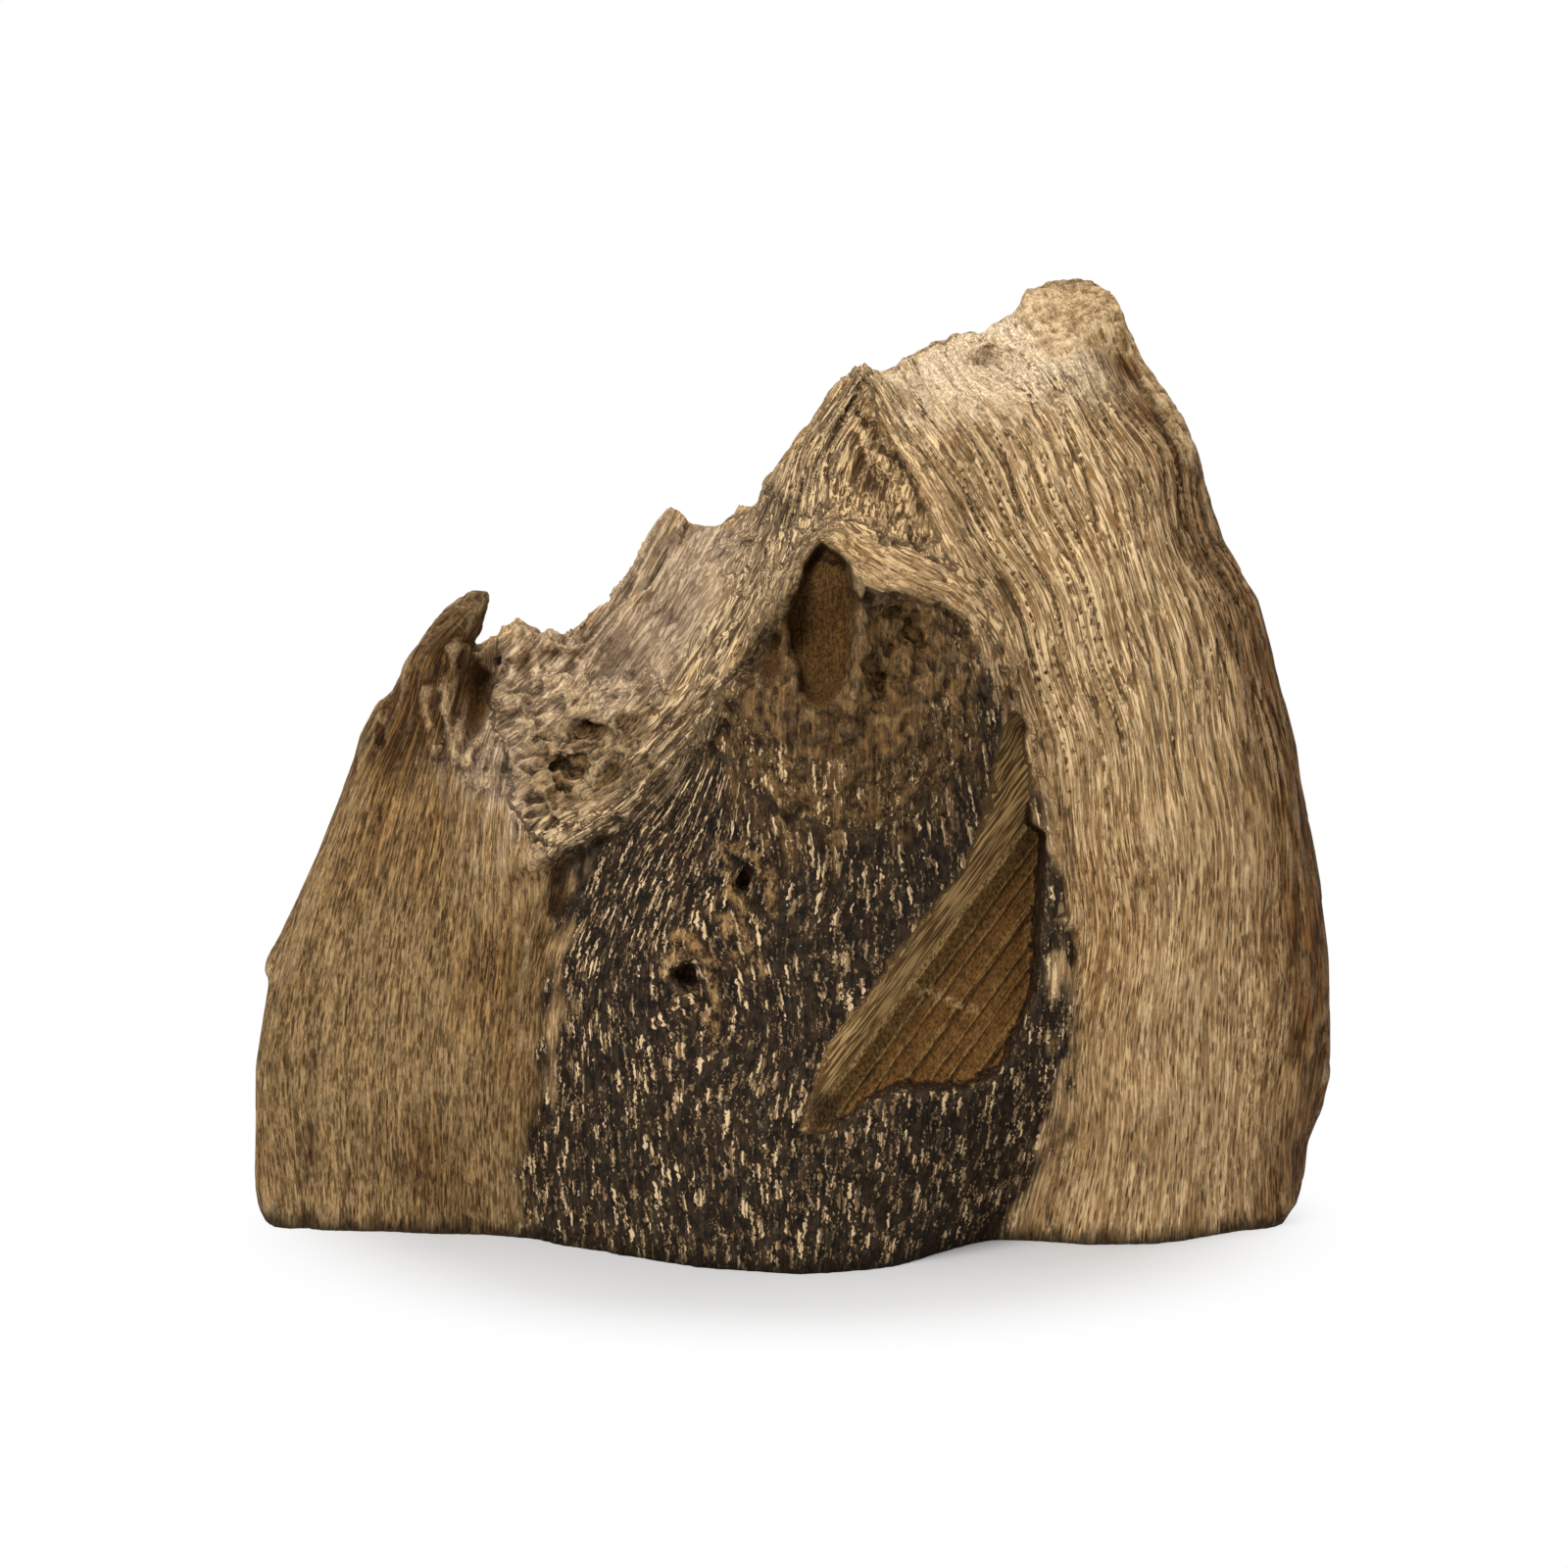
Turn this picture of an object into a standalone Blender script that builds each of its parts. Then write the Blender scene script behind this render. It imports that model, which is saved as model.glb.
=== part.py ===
"""Agarwood stump: one grown lump of trunk, standing on its flat saw cut.

The wood is one piece, so it is one closed solid. X runs across the front, Y away from the
viewer and Z up. The lump is sculpted from a block of fine faces: its outline in front view is
drawn by three edges, and its front and back faces are laid through depths set by hand. Hollows,
cords of wood, furrows and the notch left by a saw are then pressed into the front, the block
is thinned where it is plain, and its base is sawn off flat.
"""
import bpy
import bmesh
import numpy as np
from mathutils import Vector, noise

MM = 0.001

# Driving dimensions, in millimetres. Every list below is drawn at this width.
WIDTH = 223.0
DRAWN_WIDTH = 223.0
SIZE = WIDTH / DRAWN_WIDTH

# Centre of the drawing's outer box, so that the solid stands centred on the origin.
CENTRE_X = 0.32
CENTRE_Y = -1.41

# Faces of the block before it is thinned: across the front, up the front, through the depth.
FACES_ACROSS = 176
FACES_UP = 132
FACES_DEEP = 14
KEPT_TRIANGLES = 11400

# Share of the front that rolls over into the side and top edges, and the least thickness.
SIDE_ROLL = 0.026
TOP_ROLL = 0.022
THINNEST = 3.0

# The block of waste below the saw cut, in metres.
BLOCK_SIDE = 0.4
BLOCK_HEIGHT = 0.02

# Outline in front view (x, z). The left edge climbs to the tip of the horn. Both side edges
# start below the ground, and the saw then takes the base off flat.
LEFT_EDGE = [
    (-108, -4), (-108.8, 0), (-110.1, 2.5), (-111.1, 7.5), (-111, 17), (-111, 31), (-109.8, 39),
    (-108, 49.5), (-108.8, 53), (-107.5, 55), (-105.5, 58.5), (-103, 63.5), (-100, 70),
    (-97.8, 74.7), (-94.8, 81.7), (-92.5, 87.8), (-90, 95), (-88.8, 100), (-85.2, 106.8),
    (-82.3, 108.4), (-80.5, 112), (-79.3, 115.6), (-76.3, 119), (-73.5, 123.6), (-71.7, 125.8),
    (-68, 128.7), (-64, 130.1), (-62, 128.6),
]

# The right edge swells above the saw cut and climbs to the summit.
RIGHT_EDGE = [
    (101, -4), (102.6, 0), (104.8, 3), (106.4, 8), (107, 16), (109.6, 22), (111.7, 30), (111.5, 42.6),
    (110.5, 57), (109, 69.4), (107, 79.6), (103.6, 98), (99.4, 116), (96.2, 127.3),
    (91.6, 135.3), (88.5, 140.3), (85.5, 150.3), (83.5, 158), (80, 165.3), (76.6, 171.2),
    (72, 177.2), (68.7, 183), (66.7, 188.4), (66, 190),
]

# The broken top: horn, two teeth, back wall with its spike, wing, shoulder and summit.
TOP_EDGE = [
    (-62, 128.6), (-63.8, 122.6), (-65.3, 118), (-64.4, 116.2), (-62, 116.2), (-59.8, 118.3),
    (-55.7, 121.9), (-53.2, 119.1), (-51.6, 116.9), (-49.6, 119.4), (-47, 117.6), (-45, 117.4),
    (-42.1, 121.3), (-38.2, 123.9), (-32.4, 131.8), (-28.9, 137.5), (-26, 143.4), (-24.6, 144.6),
    (-23, 142.2), (-20.8, 139.9), (-15, 140.6), (-12.7, 142.7), (-6.4, 145.9), (-5.4, 152.8),
    (-1.4, 158.3), (1, 161.9), (4.9, 166.9), (7.7, 171.8), (10.8, 175.4), (14, 177.6),
    (16.2, 176.5), (18.4, 175.4), (22.5, 177.4), (26.6, 179.7), (32.7, 181.5), (39.8, 183),
    (45, 185.8), (48, 190), (51, 191.8), (56, 192.7), (63, 192.7), (66, 190),
]

# Depths of the front face (x, z, y): a smaller y stands nearer the viewer.
LEFT_FLANK = [
    (-108, 30, 1), (-102, 12, -2), (-96, 1, -6), (-74, 0, -10), (-57, 0, -13), (-102, 51, -3),
    (-81, 29, -11), (-81, 61, -9), (-61, 38, -16), (-92, 81, 0), (-75, 79, -8), (-57, 74, -15),
    (-81, 97, 2), (-71, 94, -2), (-57, 87, -8),
]
HORN_FACE = [
    (-83, 107, 6), (-76, 113, 8), (-68, 121, 10), (-71, 107, 6), (-64, 127, 13), (-66, 110, 13),
    (-68, 99, 3),
]
FOLD = [(-52, 0, -17), (-51, 24, -18), (-50, 48, -18), (-48, 68, -17), (-46, 80, -17)]
BASIN = [
    (-49, 84, -13), (-62, 97, 5), (-50, 98, 6), (-39, 95, -6), (-37, 103, 3), (-62, 110, 16),
    (-54, 111, 19), (-42, 109, 20), (-30, 112, 12), (-24, 122, 18), (-32, 120, 30),
    (-22, 131, 30), (-15, 137, 30),
]
BACK_WALL = [
    (-56, 121, 20), (-49, 118, 28), (-42, 117, 36), (-33, 130, 40), (-25, 143, 42),
    (-14, 140, 40), (-9, 144, 38),
]
WING = [
    (14, 177, -4), (6, 166, -6), (1, 160, -8), (-3, 153, -9), (-5, 141, -14), (-11, 131, -16),
    (6, 157, -14), (2, 146, -26), (-17, 122, -18), (-9, 123, -30), (-25, 112, -18),
    (-17, 108, -33), (-33, 100, -18), (-29, 95, -27), (-41, 90, -16),
]
DARK_RIB = [
    (-41, 0, -24), (-41, 25, -24), (-41, 55, -23), (-39, 75, -21), (-31, 85, -27),
    (-31, 0, -32), (-31, 47, -32), (-21, 0, -39), (-21, 28, -40), (-21, 58, -39),
    (-21, 81, -36), (2, 0, -47), (2, 30, -49), (2, 60, -50), (2, 87, -52), (18, 0, -42),
    (18, 29, -45), (20, 59, -47), (22, 87, -50), (28, 1, -31), (32, 21, -34), (36, 58, -38),
    (37, 78, -40), (42, 19, -22), (38, 0, -18),
]
BRANCH_STUB = [
    (7, 144, -46), (-1, 135, -46), (-8, 119, -46), (10, 130, -54), (4, 111, -58),
    (18, 107, -58), (-7, 106, -50), (18, 137, -50), (29, 132, -42), (37, 124, -36),
    (37, 105, -42), (29, 110, -52),
]
CROTCH = [(12, 163, -13), (14, 154, -21), (24, 143, -34), (30, 146, -24), (18, 147, -34)]
SIDE_CLEFT = [
    (45, 103, -28), (51, 85, -28), (53, 65, -29), (54, 45, -27), (54, 24, -21), (50, 0, -17),
]
RIGHT_LOBE = [
    (18, 168, -8), (26, 163, -12), (35, 147, -17), (42, 130, -23), (47, 115, -26),
    (53, 95, -27), (38, 172, -3), (50, 153, -14), (59, 134, -22), (67, 111, -27),
    (73, 86, -29), (77, 56, -29), (75, 30, -27), (74, 0, -20), (60, 29, -23), (60, 0, -20),
]
RIGHT_SHOULDER = [
    (69, 179, 13), (75, 161, 4), (83, 140, -2), (90, 117, -7), (96, 93, -9), (98, 63, -9),
    (98, 36, -9), (97, 16, -8), (95, 0, -6),
]
CREST = [
    (61, 192, 22), (51, 191, 21), (45, 184, 16), (39, 182, 14), (39, 176, 10), (30, 179, 8),
    (56, 172, 0), (63, 184, 10), (56, 183, 10), (46, 177, 6),
]
FRONT = (
    LEFT_FLANK + HORN_FACE + FOLD + BASIN + BACK_WALL + WING + DARK_RIB + BRANCH_STUB
    + CROTCH + SIDE_CLEFT + RIGHT_LOBE + RIGHT_SHOULDER + CREST
)

# Depths of the back face (x, z, y), which the viewer never sees from the front.
BACK_LOW = [
    (-109, 0, 17), (-84, 0, 31), (-45, 0, 44), (0, 0, 50), (45, 0, 47), (80, 0, 35), (103, 0, 19),
    (-110, 40, 19), (-82, 50, 34), (-40, 50, 46), (0, 45, 53), (45, 50, 50), (85, 50, 37),
    (111, 45, 22),
]
BACK_HIGH = [
    (-95, 90, 18), (-72, 90, 30), (-35, 95, 46), (5, 100, 52), (50, 100, 48), (85, 95, 35),
    (104, 95, 22), (-82, 111, 18), (-63, 128, 18), (-62, 114, 25), (-56, 121, 26),
    (-50, 118, 33), (-43, 117, 43), (-33, 130, 46), (-25, 144, 47), (-14, 140, 47),
    (-6, 145, 44), (20, 130, 48), (60, 140, 42), (92, 134, 25),
]
BACK_CREST = [
    (-2, 156, 12), (4, 165, 7), (14, 177, 5), (18, 175, 9), (27, 179, 18), (39, 183, 25),
    (50, 191, 31), (62, 192, 32), (66, 190, 28), (8, 152, 30), (20, 162, 24), (34, 172, 27),
    (35, 150, 42), (60, 172, 33), (77, 171, 24), (85, 150, 24), (70, 183, 27),
]
BACK = BACK_LOW + BACK_HIGH + BACK_CREST

# Hollows in the front: outline (x, z), depth, and the width of the wall down to the floor.
BRANCH_HOLLOW = (
    [(5.5, 145), (10.4, 142), (11.1, 137.7), (13.2, 135.4), (11, 130), (10.4, 124.3),
     (9.2, 117.6), (6.6, 115), (3.3, 115.3), (2.4, 119.5), (0.1, 125.3), (-0.4, 130.5),
     (1.8, 137.2), (2.8, 141.8)], 15, 3.2)
ROT_POCKET = (
    [(14.6, 134.6), (23.3, 134.1), (27.5, 130.3), (29.5, 124.5), (27.4, 119.6), (24.2, 114.8),
     (19.4, 111.3), (15.1, 112.5), (12.4, 119.7), (12.6, 126)], 6, 3.5)
ROT_HEART = ([(18, 132.5), (24.3, 133.1), (27, 129.3), (25.9, 123.6), (21.6, 124.6)], 5, 2.5)
ROT_FLOOR = ([(15.5, 122), (18.5, 121), (19.5, 115.5), (15.5, 115)], 3.5, 2)
SIDE_POCKET = ([(-3, 128.4), (-1.2, 127.5), (-1.6, 121), (-4, 118), (-5.6, 121.3)], 4, 1.8)
CROTCH_RECESS = (
    [(12.9, 168.5), (18.4, 162), (23.6, 155), (28.2, 146), (29.4, 140.5), (24.5, 140),
     (14.3, 146.7), (7.6, 149.5), (9, 156), (10.7, 163)], 6, 6)
CROTCH_PIT = ([(19.9, 154.4), (22.1, 154), (26, 147), (26.3, 141.8), (23, 143)], 4, 2.2)
SIDE_CHANNEL = (
    [(39.6, 126), (42.3, 124), (45.1, 114.5), (47, 104), (47.5, 99), (43.8, 101), (41.2, 115)],
    6, 2.6)
HORN_HOLLOW = (
    [(-65.4, 115), (-61.6, 113), (-60.6, 108.7), (-61.6, 103.8), (-63.6, 99.8), (-66, 100.8),
     (-67, 105.1), (-67.4, 110)], 9, 2.8)
WEB_PIT_LOW = (
    [(-50.2, 96.8), (-42.8, 98.2), (-39.2, 96.6), (-39.8, 93), (-42.6, 89.4), (-45.2, 88.4),
     (-48.8, 90.4)], 6, 2.6)
WEB_PIT_MIDDLE = ([(-46.8, 101.5), (-42.5, 104), (-36.6, 103), (-38, 99.2), (-45, 98.9)], 5, 2)
WEB_PIT_RIGHT = ([(-36.1, 105.4), (-28.4, 107), (-28.4, 104), (-33, 101.4), (-36.4, 102)], 4, 2)
WEB_PIT_UNDER_WING = (
    [(-40.4, 92), (-37.2, 96.2), (-28, 101), (-27.8, 99.2), (-36, 94), (-39, 90.8)], 4.5, 1.8)
WEB_PIT_HIGH = ([(-36.3, 112.6), (-32, 113.4), (-31.4, 111.2), (-35.4, 110.6)], 3.5, 1.4)
UPPER_KNOT_HOLE = (
    [(-9.2, 83.4), (-6.6, 81), (-6.4, 77.4), (-8.2, 73.9), (-10.6, 74.6), (-11.6, 78)], 9, 2.2)
LOWER_KNOT_HOLE = (
    [(-24.4, 59), (-22.4, 61.2), (-18, 61.6), (-16.6, 57), (-16.9, 52), (-18.4, 50),
     (-20.6, 54), (-23.4, 56)], 7, 2.4)
CREST_SCOOP = (
    [(35, 178), (40.6, 181), (47, 181), (49, 176.5), (46, 172.4), (40, 171.8), (36, 174.4)], 6, 4)
CREST_PIT = ([(52, 173), (55.2, 172.8), (55.2, 169.4), (53.4, 168), (51.6, 170)], 3.5, 1.6)
EDGE_BITE = (
    [(112, 44), (108, 43), (105.4, 33.4), (103.4, 21.3), (102.4, 9), (104, 4), (112, 6)], 2.5, 3)
HOLLOWS = [
    BRANCH_HOLLOW, ROT_POCKET, ROT_HEART, ROT_FLOOR, SIDE_POCKET, CROTCH_RECESS, CROTCH_PIT,
    SIDE_CHANNEL, HORN_HOLLOW, WEB_PIT_LOW, WEB_PIT_MIDDLE, WEB_PIT_RIGHT, WEB_PIT_UNDER_WING,
    WEB_PIT_HIGH, UPPER_KNOT_HOLE, LOWER_KNOT_HOLE, CREST_SCOOP, CREST_PIT, EDGE_BITE,
]

# Cords of wood: path (x, z), half width, rise towards the viewer. Furrows have a negative rise.
WING_CREST = (
    [(14, 176), (4, 162), (-1, 150), (-6.7, 126), (-12, 118), (-20.3, 105.8), (-28, 97),
     (-34.3, 91), (-42, 85.8), (-49, 80.7), (-52.5, 79)], 5, 4)
WING_STRAND = ([(9, 168), (6, 152), (-2, 136), (-14, 120), (-24, 110)], 3, 2)
HOOD_LEFT = (
    [(8.8, 146), (4.6, 146), (0.4, 141.5), (-2.4, 134.5), (-6.4, 128), (-9, 122), (-13, 116),
     (-17, 106)], 4, 4.5)
HOOD_RIGHT = (
    [(7.7, 147), (12.4, 142.4), (15.6, 138), (22, 136.6), (31.6, 134), (36.6, 128.5),
     (38.6, 119.6), (41, 111), (43, 102)], 4, 4.5)
HOLLOW_DIVIDE = ([(12, 137), (13.6, 130), (12.4, 120), (11, 111)], 2.4, 2.4)
LOBE_RIM = ([(14.4, 176), (22, 164), (28.6, 151.5), (34, 140), (39.5, 131), (43.6, 121)], 4.5, 3.4)
WEB_TOP = ([(-52, 111.5), (-43.3, 108.6), (-38, 107.2), (-31.6, 108.3), (-27, 112)], 3, 3.4)
WEB_LEFT = ([(-60.8, 108.8), (-54.5, 103.4), (-51, 99.4), (-46.8, 98.2)], 2.8, 2.6)
WEB_MIDDLE = ([(-42, 94.5), (-38.6, 98.6), (-36.3, 99.6), (-31, 102.4), (-26, 106)], 2.6, 3.4)
WEB_LOW = ([(-50.4, 90.4), (-47.6, 86.6), (-43.4, 87), (-38, 92), (-31, 97.4)], 2.6, 3.2)
HORN_CORD = ([(-68.5, 118), (-69.4, 106), (-67, 98), (-62, 93)], 3, 3.2)
TOOTH_CORD = ([(-55.7, 121), (-57, 113), (-58.4, 106)], 2.6, 1.8)
TOP_LIP = ([(64, 188), (70, 178.6), (75, 170.8), (79, 165), (80.6, 160)], 3, 1.4)
EAST_FOLD = ([(52, 104), (55.5, 84), (57, 50), (57.5, 24), (52, 4)], 2.6, -1.6)
WEST_FOLD = ([(-45, 79), (-49, 62), (-51, 30), (-52, 0)], 5, -2.2)
FLANK_FURROW = ([(-98, 52), (-99, 30), (-99.5, 0)], 3.5, -1.2)
SHADE_UNDER_WING = ([(-34, 86), (-41, 81), (-46, 74), (-48, 68)], 3, -3)
LOBE_FURROWS = [
    ([(29.1, 166.3), (35, 153), (40, 141.6), (45, 130), (48, 116.8), (50, 103)], 2.8, -1.5),
    ([(38, 168.3), (43.7, 153), (49.5, 137.7), (52.6, 124.4), (54.6, 108.8)], 2.6, -1.3),
    ([(46.8, 164.4), (52.5, 147.2), (57.2, 130.2), (59.8, 111), (61, 91)], 2.6, -1.1),
    ([(54.7, 158.5), (60.3, 141.4), (65.1, 122.3), (67, 103)], 2.4, -1),
]
CORDS = [
    WING_CREST, WING_STRAND, HOOD_LEFT, HOOD_RIGHT, HOLLOW_DIVIDE, LOBE_RIM, WEB_TOP, WEB_LEFT,
    WEB_MIDDLE, WEB_LOW, HORN_CORD, TOOTH_CORD, TOP_LIP, EAST_FOLD, WEST_FOLD,
    FLANK_FURROW, SHADE_UNDER_WING,
] + LOBE_FURROWS

# The saw notch: the plane left by the chain, as the depth at its tip and the depth gained per
# mm across, a slanting facet beyond a straight step, and the walls on its right and below.
NOTCH_TIP = (5.4, 33.7)
NOTCH_STEP_TOP = (47.7, 87.4)
NOTCH_DEPTH_AT_TIP = -48.5
NOTCH_DEPTH_PER_X = 0.62
NOTCH_STEP = 2.0
NOTCH_FACET_SLOPE = 0.8
NOTCH_WALL = 2.0
NOTCH_BOUNDS = [
    (0, 31), (9.5, 30), (14.4, 33.3), (21.3, 36.2), (34.8, 34.2), (42, 36.7), (44.8, 42.2),
    (49.4, 53.4), (50, 63.4), (51, 78.3), (51.3, 85.2), (48.1, 87.7), (47.7, 99), (42.2, 101),
    (34, 92), (20, 78), (5, 56), (-2, 40),
]

# Broad ribs and troughs of the back: path (x, z), half width, rise away from the viewer.
BACK_RIBS = [
    ([(-60, 118), (-66, 80), (-72, -4)], 20, 5),
    ([(-30, 140), (-26, 70), (-24, -4)], 17, -6),
    ([(18, 150), (22, 80), (34, -4)], 26, 6),
    ([(66, 178), (72, 100), (78, -4)], 16, -5),
]
BACK_KNOT = ([(-9, 90), (-2, 98), (7, 97), (12, 86), (8, 73), (-2, 69), (-10, 77)], -6, 8)

# Swell of each face: size of the lumps across and along the grain, their height, and the
# layer of noise that they are drawn from.
FRONT_LUMPS = (11, 42, 1.1, 0.5)
BACK_FLUTES = (20, 110, 3.5, 7.5)

# How softly each sheet bends near its points, and how sharp a cord's crest is.
FRONT_SOFTNESS = 4.0
BACK_SOFTNESS = 8.0
CORD_SHARPNESS = 1.5

# How much of the faces across the top go to its climbs, next to its runs.
TOP_CLIMB = 0.35


def smooth_field(points, softness):
    """Returns depth(x, z), a smooth sheet through hand-placed depths."""
    table = np.array(points, float)
    x, z, depths = table.T
    spread = np.hypot(x[:, None] - x, z[:, None] - z)
    kernel = np.sqrt(spread**2 + softness**2)
    flat = np.column_stack([np.ones_like(x), x, z])
    system = np.block([[kernel, flat], [flat.T, np.zeros((3, 3))]])
    weights = np.linalg.solve(system, np.concatenate([depths, np.zeros(3)]))

    def depth(at_x, at_z):
        total = weights[-3] + weights[-2] * at_x + weights[-1] * at_z
        for weight, px, pz in zip(weights, x, z):
            total = total + weight * np.sqrt((at_x - px) ** 2 + (at_z - pz) ** 2 + softness**2)
        return total

    return depth


def walk(points, share, climb):
    """Points at a share (0 to 1) of the way along an outline edge."""
    line = np.array(points, float)
    step = np.abs(np.diff(line, axis=0))
    run = np.concatenate([[0], np.cumsum(step[:, 0] + climb * step[:, 1])])
    run = run / run[-1]
    return np.interp(share, run, line[:, 0]), np.interp(share, run, line[:, 1])


def distance_to(x, z, path):
    """Distance in front view to the nearest point of a path."""
    nearest = np.full(x.shape, np.inf)
    for (ax, az), (bx, bz) in zip(path, path[1:]):
        dx, dz = bx - ax, bz - az
        along = np.clip(((x - ax) * dx + (z - az) * dz) / (dx * dx + dz * dz), 0, 1)
        nearest = np.minimum(nearest, np.hypot(x - ax - along * dx, z - az - along * dz))
    return nearest


def smooth_step(value):
    value = np.clip(value, 0, 1)
    return value * value * (3 - 2 * value)


def raise_cord(x, z, path, half_width, rise):
    """Height of a cord: a rounded crest on the path, with concave sides."""
    share = np.clip(1 - distance_to(x, z, path) / half_width, 0, 1)
    return rise * share**CORD_SHARPNESS


def inside_by(x, z, corners):
    """Distance in from the border of a polygon, negative outside it."""
    inside = np.zeros(x.shape, bool)
    closed = corners + corners[:1]
    for (ax, az), (bx, bz) in zip(closed, closed[1:]):
        if az == bz:
            continue
        crosses = (az > z) != (bz > z)
        inside ^= crosses & (x < ax + (z - az) * (bx - ax) / (bz - az))
    distance = distance_to(x, z, closed)
    return np.where(inside, distance, -distance)


def cut_notch(x, z, depth):
    """Takes the front back to the saw's plane and facet, inside the notch's walls."""
    step_x = NOTCH_STEP_TOP[0] - NOTCH_TIP[0]
    step_z = NOTCH_STEP_TOP[1] - NOTCH_TIP[1]
    sideways = (z - NOTCH_TIP[1]) * step_x - (x - NOTCH_TIP[0]) * step_z
    beyond = sideways / np.hypot(step_x, step_z)
    plane = NOTCH_DEPTH_AT_TIP + NOTCH_DEPTH_PER_X * (x - NOTCH_TIP[0])
    stepped = NOTCH_STEP * smooth_step(beyond) + NOTCH_FACET_SLOPE * np.maximum(beyond - 1, 0)
    cut = plane - stepped
    wall = smooth_step(inside_by(x, z, NOTCH_BOUNDS) / NOTCH_WALL)
    return depth + np.maximum(cut - depth, 0) * wall


def swell(x, z, lumps):
    """Lumps drawn out along the upright grain."""
    across, along, height, layer = lumps
    return height * np.array([
        noise.noise(Vector((px / across, pz / along, layer))) for px, pz in zip(x, z)
    ])


front_sheet = smooth_field(FRONT, FRONT_SOFTNESS)
back_sheet = smooth_field(BACK, BACK_SOFTNESS)


def front_depth(x, z):
    """Finished depth of the front face."""
    depth = front_sheet(x, z) - swell(x, z, FRONT_LUMPS)
    for outline, hollow_depth, wall in HOLLOWS:
        depth = depth + hollow_depth * smooth_step(inside_by(x, z, outline) / wall)
    for path, half_width, rise in CORDS:
        depth = depth - raise_cord(x, z, path, half_width, rise)
    return cut_notch(x, z, depth)


def back_depth(x, z):
    """Finished depth of the back face."""
    depth = back_sheet(x, z) + swell(x, z, BACK_FLUTES)
    for path, half_width, rise in BACK_RIBS:
        depth = depth + rise * smooth_step(1 - distance_to(x, z, path) / half_width)
    outline, rise, wall = BACK_KNOT
    return depth + rise * smooth_step(inside_by(x, z, outline) / wall)


def outline_point(u, v):
    """Front-view position at a share u across and v up, inside the three drawn edges."""
    bottom_x = LEFT_EDGE[0][0] + (RIGHT_EDGE[0][0] - LEFT_EDGE[0][0]) * u
    left_x, left_z = walk(LEFT_EDGE, v, 1.0)
    right_x, right_z = walk(RIGHT_EDGE, v, 1.0)
    top_x, top_z = walk(TOP_EDGE, u, TOP_CLIMB)
    corners_x = (
        (1 - u) * ((1 - v) * LEFT_EDGE[0][0] + v * LEFT_EDGE[-1][0])
        + u * ((1 - v) * RIGHT_EDGE[0][0] + v * RIGHT_EDGE[-1][0])
    )
    corners_z = v * ((1 - u) * LEFT_EDGE[-1][1] + u * RIGHT_EDGE[-1][1])
    x = (1 - v) * bottom_x + v * top_x + (1 - u) * left_x + u * right_x - corners_x
    z = v * top_z + (1 - u) * left_z + u * right_z - corners_z
    return x, z


def sculpt(across, up, deep):
    """Places block points, each given as shares 0 to 1, on the stump, in millimetres."""
    turn = np.sin(np.pi * deep)
    u = SIDE_ROLL + (1 - 2 * SIDE_ROLL) * across
    u = np.where(across <= 0, SIDE_ROLL * (1 - turn), u)
    u = np.where(across >= 1, 1 - SIDE_ROLL * (1 - turn), u)
    v = (1 - TOP_ROLL) * up
    v = np.where(up >= 1, 1 - TOP_ROLL * (1 - turn), v)
    x, z = outline_point(u, v)
    front = front_depth(x, z)
    back = np.maximum(back_depth(x, z), front + THINNEST)
    y = (front + back) / 2 - np.cos(np.pi * deep) * (back - front) / 2
    return x, y, z


def block_mesh():
    """A closed block: a fine grid in front, the same behind, and walls cut into strips."""
    shape = bmesh.new()
    bmesh.ops.create_grid(shape, x_segments=FACES_ACROSS, y_segments=FACES_UP, size=1.0)
    front_verts = set(shape.verts)
    raised = bmesh.ops.extrude_face_region(shape, geom=shape.faces[:], use_keep_orig=True)
    for vert in raised["geom"]:
        if isinstance(vert, bmesh.types.BMVert):
            vert.co.z = 1.0
    walls = [e for e in shape.edges if (e.verts[0] in front_verts) != (e.verts[1] in front_verts)]
    bmesh.ops.subdivide_edges(shape, edges=walls, cuts=FACES_DEEP - 1, use_grid_fill=True)
    return shape


def make_stump():
    shape = block_mesh()
    block = np.array([vert.co for vert in shape.verts])
    x, y, z = sculpt((block[:, 0] + 1) / 2, (block[:, 1] + 1) / 2, block[:, 2])
    for vert, px, py, pz in zip(shape.verts, x, y, z):
        vert.co = ((px - CENTRE_X) * SIZE * MM, (py - CENTRE_Y) * SIZE * MM, pz * SIZE * MM)
    bmesh.ops.recalc_face_normals(shape, faces=shape.faces[:])
    mesh = bpy.data.meshes.new("stump")
    shape.to_mesh(mesh)
    shape.free()
    stump = bpy.data.objects.new("stump", mesh)
    bpy.context.scene.collection.objects.link(stump)
    return stump


def weathered_wood():
    material = bpy.data.materials.new("weathered_agarwood")
    material.use_nodes = True
    shader = material.node_tree.nodes["Principled BSDF"]
    shader.inputs["Base Color"].default_value = (0.27, 0.17, 0.09, 1)
    shader.inputs["Roughness"].default_value = 0.85
    shader.inputs["Metallic"].default_value = 0.0
    return material


def floor_block():
    """The block that the saw takes away below the base."""
    bpy.ops.mesh.primitive_cube_add(size=1.0)
    block = bpy.context.object
    block.name = "below_the_base"
    block.scale = (BLOCK_SIDE, BLOCK_SIDE, BLOCK_HEIGHT)
    block.location = (0, 0, -BLOCK_HEIGHT / 2)
    block.hide_render = True
    block.display_type = "WIRE"
    return block


for old in list(bpy.data.objects):
    bpy.data.objects.remove(old)

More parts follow.
